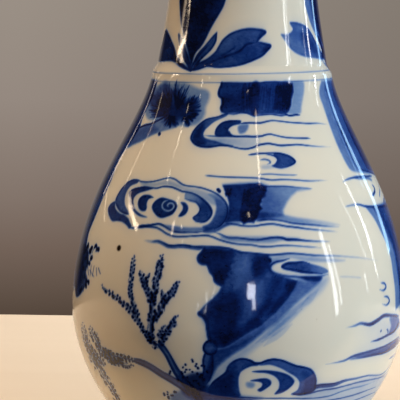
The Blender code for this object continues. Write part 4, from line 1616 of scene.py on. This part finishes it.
def spray(points, size):
    """A stem with its leaves, from its tip down, in places of the photograph."""
    line = flowing(points)
    run = lengths(line)

    def beside(side, nearest, farthest):
        off, reach = heading + side * math.pi / 2, grown * hand.uniform(nearest, farthest)
        return x + math.cos(off) * reach, y + math.sin(off) * reach

    stroke(points, (0.8, 2.6 * size, 3.4 * size), 0.12, (0.2, 0.1))
    stroke(points, (0.3, 0.8 * size, 1.4 * size), (0.55, 0.4, 0.45), (0.1, 0.05))
    at, side = 0.8, 1
    while at < run[-1]:
        x, y = (np.interp(at, run, line[:, k]) for k in (0, 1))
        back_x, back_y = (np.interp(at - 1, run, line[:, k]) for k in (0, 1))
        heading = math.atan2(back_y - y, back_x - x)
        grown = size * min(1.0, 0.4 + at / 16)
        place = beside(side, 1.1, 2.3)
        lean = heading + side * hand.uniform(0.2, 1.2)
        length, width = grown * hand.uniform(1.2, 2.2), grown * hand.uniform(0.85, 1.3)
        dab(*place, lean, length, width, hand.uniform(0.95, 1.0))
        if hand.uniform() < 0.6:
            place = beside(hand.choice((-1, 1)), 2.0, 3.4)
            lean = heading + hand.uniform(-0.6, 0.6)
            dab(*place, lean, grown * hand.uniform(1.8, 3.2), 0.45 * grown, hand.uniform(0.3, 0.6))
        at += hand.uniform(1.3, 2.3)
        side = -side if hand.uniform() < 0.8 else side


trunk = [
    (157, 344), (161.4, 349.6), (166, 356.4), (170.6, 366), (175.6, 375.4), (183, 385), (192, 394),
    (198, 402),
]
trunk_right = [
    (160.6, 342), (165, 347), (169, 353), (173.6, 361), (179, 370), (187, 380), (196, 390), (204, 402),
]
bough = [(190, 396), (181, 388.6), (171, 382.2), (160, 375.6), (150, 369), (141, 364.4), (133.5, 361.4)]
bough_top = [(194, 391), (184, 383.6), (173, 377.4), (162, 371.4), (152, 365), (143, 360.6), (134, 358.4)]
moss = [
    (193, 361), (184, 366), (191, 371), (199, 369), (171, 373), (188, 378), (195, 382), (199, 384),
    (163, 394), (167, 393), (172, 396), (175, 392), (186, 371), (196, 375), (202, 374), (190, 384),
    (204, 380), (184, 377), (206, 372), (199, 378), (193, 388), (205, 388), (168, 398), (181, 373),
    (203, 366), (178, 381), (196, 365),
]
ground = [
    (184, 378), (190, 374), (197, 373), (203, 374), (207, 381), (205, 389), (198, 392), (192, 388),
    (187, 384),
]
ground_wash = [
    (170, 398), (182, 390), (198, 388), (212, 386), (226, 394), (262, 398), (240, 404), (212, 410),
    (180, 410),
]
edge_bush = [
    (76, 296), (75.6, 276), (77.4, 262), (79.5, 250), (83, 243), (88, 250), (88.4, 262), (86, 272),
    (87, 280), (82, 292),
]
edge_dabs = [
    (88.4, 246.4), (92, 249.6), (95, 247.4), (90, 253), (97, 250), (86, 258), (89, 262), (85, 268),
    (88, 281), (83, 275), (85, 286), (80, 282), (82, 262), (84, 252), (81, 290), (91, 258),
]
edge_blades = [
    ([(88.4, 243), (89, 249.5)], 0.9, 0.8),
    ([(94.6, 246.4), (92, 253.4)], 0.9, 0.8),
    ([(96.6, 247), (95.2, 252)], 0.8, 0.7),
    ([(86, 249), (88, 255)], 1.0, 0.8),
    ([(90.5, 252), (90.2, 258)], 0.8, 0.6),
    ([(87.4, 262), (88.6, 275)], 1.0, 0.75),
    ([(91.4, 265), (90, 276)], 0.9, 0.6),
    ([(94, 266.4), (92.4, 276)], 0.9, 0.7),
    ([(96.4, 268), (96.6, 275.6)], 0.9, 0.6),
    ([(98.4, 268), (100.4, 274)], 0.9, 0.75),
    ([(89.6, 270), (94, 277)], 0.8, 0.5),
    ([(85.6, 277), (86.4, 287)], 1.1, 0.7),
    ([(83, 280), (83.4, 291)], 1.0, 0.7),
    ([(80, 284), (80.6, 293)], 1.0, 0.7),
]


def spray_tree():
    haze(ground_wash, 0.34, 1.6)
    wash(trunk + trunk_right[::-1], 0.62, soft=0.5, pool=0.1, smooth=False)
    lift_out([(a + 2.4, b - 0.6) for a, b in trunk[1:5]], 0.7, 0.4)
    stroke(trunk, (1.1, 0.9, 1.0), 0.85, (0.05, 0.02))
    stroke(trunk_right, (0.9, 0.8, 0.9), 0.8, (0.05, 0.02))
    wash(bough + bough_top[::-1], 0.55, soft=0.5, pool=0.1, smooth=False)
    stroke(bough, (1.2, 1.1, 1.0), 0.85, (0.02, 0.05))
    stroke(bough_top, (0.9, 0.8, 0.8), 0.75, (0.02, 0.05))
    before = sheet.copy()
    for line, size in sprays:
        spray(line, size)
    haze(ground, 0.7, 2.0)
    dabs(moss, 1.5, (0, math.pi), 1.3, (0.7, 1.1), 0.96)
    thick_since(before)


def edge_foliage():
    before = sheet.copy()
    wash(edge_bush, 0.62, soft=0.8, pool=0.2)
    for line, width, ink in edge_blades:
        stroke(line, width * 1.7, ink + 0.15, (0.3, 0.1), smooth=False)
    dabs(edge_dabs, 1.6, (1.0, 2.0), 2.6, (1.4, 2.2), 0.95)
    thick_since(before)


spray_tree()
edge_foliage()


# The back of the lower bulb. The same painter's scenery goes on round it: the landscape of the
# front the other way round, with its clouds at other heights.
back_scenery = [
    (upper_rock, 176, 0.0), (pine_bank, 176, 0.0), (pine_clump, 176, 0.0), (arch_cloud, 184, -2.0),
    (comma_cloud, 150, 4.0), (comma_cloud, 222, 2.0), (upper_streams, 176, 3.0), (lower_rock, 188, -3.0),
    (scroll_cloud, 188, -3.0), (middle_streams, 188, -3.0), (cliff_and_shore, 180, -2.0),
    (eye_cloud, 180, -2.0), (low_cloud, 180, 0.0), (far_strokes, 180, 2.0), (spray_tree, 180, 0.0),
]
for paint, turn, rise in back_scenery:
    moved.update(turn=turn, rise=rise, mirror=True)
    paint()


# The upper bulb and the neck. The clouds and streams come three times round the bulb between its
# ring lines, and a row of small upright leaves with tendrils stands round the neck.
bulb_clouds = ((scroll_cloud, 36, 116, 316), (comma_cloud, 24, 139, 311))
bulb_streams = ((upper_streams, 24, 132, 299),)


def carried_up(low, high):
    """How far up the wall a motif goes, from one height in mm to another."""
    low_run, high_run = np.interp((low, high), outline[:, 1], outline_run)
    return high_run - low_run


for scenery in (bulb_clouds, bulb_streams):
    for third in (0, 120, 240):
        for paint, turn, low, high in scenery:
            moved.update(turn=turn + third, rise=carried_up(low, high), mirror=False)
            paint()
moved.update(turn=0.0, rise=0.0, mirror=False)

for turn in range(0, 360, 40):
    reaches = ((0, 344.5), (-9, 352), (-7, 360), (0, 369), (7, 360), (9, 352))
    wash([(turn + reach, height) for reach, height in reaches], 0.6, pool=0.4, where=marked_at)
    stroke([(turn, 346), (turn + 1, 356), (turn, 365)], 0.6, 0.4, where=marked_at)
    for side in (-1, 1):
        tendril = [(turn + 14 * side, 346), (turn + 20 * side, 352), (turn + 20 * side, 359)]
        stroke(tendril, (0.6, 1.2, 0.6), 0.75, where=marked_at)


# Glaze and firing. The painted vase is dipped in clear glaze and fired once: the cobalt turns blue,
# softens at its edges and spreads a faint halo, and the wiped foot rim stays bare.
COBALT = (
    (0.0, (0.70, 0.68, 0.575)),
    (0.12, (0.42, 0.49, 0.57)),
    (0.3, (0.15, 0.26, 0.48)),
    (0.5, (0.035, 0.095, 0.32)),
    (0.7, (0.006, 0.03, 0.17)),
    (0.85, (0.003, 0.013, 0.095)),
    (1.0, (0.002, 0.005, 0.03)),
)
SOFTENING, HALO, HALO_REACH = 0.15, 0.16, 6
THICK_TINT = (1.0, 0.55, 0.42, 1.0)
MILKY_TINT, SPECK_TINT = (0.95, 0.985, 1.0, 1.0), (0.45, 0.36, 0.24, 1.0)
GLAZE_ROUGHNESS, CLAY_ROUGHNESS = 0.06, 0.85
IRON_SPOT, IRON_SIZE = (118.9, 248.1), 1.9
IRON_COLOUR = (0.012, 0.006, 0.003, 1.0)
BARE_CLAY, SCORCHED_CLAY = (0.62, 0.53, 0.42), (0.45, 0.29, 0.16)
RIPPLE, FINE_RIPPLE, GRIT = 0.22 * MM, 0.022 * MM, 0.08 * MM


def spread(cobalt, reach):
    """The cobalt averaged over so many sheet cells each way, twice over."""
    for axis in (0, 1, 0, 1):
        shifted = [np.roll(cobalt, k, axis=axis) for k in range(-reach, reach + 1)]
        cobalt = sum(shifted) / len(shifted)
    return cobalt


sheet = sheet * (1 - SOFTENING) + spread(sheet, 1) * SOFTENING
sheet = 1 - (1 - sheet) * (1 - HALO * spread(sheet, HALO_REACH))

for piece in sections:
    mesh = piece.data
    places = np.empty(len(mesh.vertices) * 3, dtype=np.float32)
    mesh.vertices.foreach_get("co", places)
    x, y, z = places.reshape(-1, 3).T / MM
    turn = np.arctan2(x, -y)
    turn = np.where(turn < sheet_turn[0], turn + 2 * math.pi, turn)
    radius = np.hypot(x, y)
    outer = (radius > np.interp(z, outline[:, 1], outline[:, 0]) - 0.3) & (z > FOOT_TOP)
    row = np.interp(np.interp(z, outline[:, 1], outline_run), sheet_run, np.arange(len(sheet_run)))
    column = np.interp(turn, sheet_turn, np.arange(len(sheet_turn)))
    low_row = np.minimum(row.astype(int), len(sheet_run) - 2)
    low_column = np.minimum(column.astype(int), len(sheet_turn) - 2)
    up_share, on_share = row - low_row, column - low_column
    for name, ink in (("cobalt", sheet), ("blackened", blackened)):
        lower, upper = (
            ink[at, low_column] * (1 - on_share) + ink[at, low_column + 1] * on_share
            for at in (low_row, low_row + 1)
        )
        value = np.where(outer, lower * (1 - up_share) + upper * up_share, 0.0)
        mesh.attributes.new(name, "FLOAT", "POINT").data.foreach_set("value", value.astype(np.float32))

glaze, glaze_inputs, coat = new_material("glaze", GLAZE_ROUGHNESS)
spot_turn, spot_run = seen_at([IRON_SPOT])[0]
spot_height, spot_radius = (np.interp(spot_run, outline_run, outline[:, k]) * MM for k in (1, 0))
spot_place = (spot_radius * math.sin(spot_turn), -spot_radius * math.cos(spot_turn), spot_height)
place = coat.node("ShaderNodeTexCoord", output="Object")
laid = coat.node("ShaderNodeAttribute", {"attribute_name": "cobalt"}, output="Fac")
black = coat.node("ShaderNodeAttribute", {"attribute_name": "blackened"}, output="Fac")


def cloud(size, detail=2.0, stretch=None):
    """Soft noise whose blotches are about this many millimetres wide."""
    where = place
    if stretch:
        where = place.node("ShaderNodeMapping", {}, {"Vector": place, "Scale": stretch})
    sockets = {"Vector": where, "Scale": 1 / (size * MM), "Detail": detail}
    return place.node("ShaderNodeTexNoise", {}, sockets)


brushed = cloud(2.2, 3.0, (1.0, 1.0, 1.6)) - 0.5
blotched = cloud(9.0) - 0.5
heaped = cloud(1.3, 2.0).step(0.60, 0.72) * laid.step(0.35, 0.8)
density = laid * (1.0 + brushed * 0.28 + blotched * 0.5) + heaped * 0.12
colour = density.node("ShaderNodeValToRGB", {"stops": COBALT}, {0: density})
colour = colour.tinted(black, THICK_TINT, "MULTIPLY")
milky = cloud(26.0, 3.0).step(0.35, 0.75)
colour = colour.tinted(milky * 0.5, MILKY_TINT, "MULTIPLY")
specks = cloud(2.6, 1.0).step(0.80, 0.84)
colour = colour.tinted(specks * 0.5, SPECK_TINT, "MULTIPLY")
apart = {"operation": "DISTANCE"}
away = place.node("ShaderNodeVectorMath", apart, {0: place, 1: spot_place}, output="Value")
spot = 1.0 - away.step(IRON_SIZE * 0.55 * MM, IRON_SIZE * 1.15 * MM)
colour = colour.tinted(spot, IRON_COLOUR)
colour.feed(glaze_inputs["Base Color"])
ripple = cloud(30.0, 1.0) * RIPPLE + cloud(5.0, 2.0) * FINE_RIPPLE
relief = {"Height": ripple, "Distance": 1.0, "Strength": 1.0}
ripple.node("ShaderNodeBump", {}, relief).feed(glaze_inputs["Normal"])

clay, clay_inputs, grain = new_material("bare_clay", CLAY_ROUGHNESS)
place = grain.node("ShaderNodeTexCoord", output="Object")
smeared = cloud(1.5, 4.0).step(0.35, 0.7)
clay_stops = {"stops": ((0, BARE_CLAY), (1, SCORCHED_CLAY))}
bare = smeared.node("ShaderNodeValToRGB", clay_stops, {0: smeared * 0.4})
bare.feed(clay_inputs["Base Color"])
grit = cloud(0.5, 3.0) * GRIT
grit.node("ShaderNodeBump", {}, {"Height": grit, "Distance": 1.0}).feed(clay_inputs["Normal"])

for piece in sections:
    piece.data.materials.append(glaze)
    piece.data.materials.append(clay)

low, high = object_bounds()
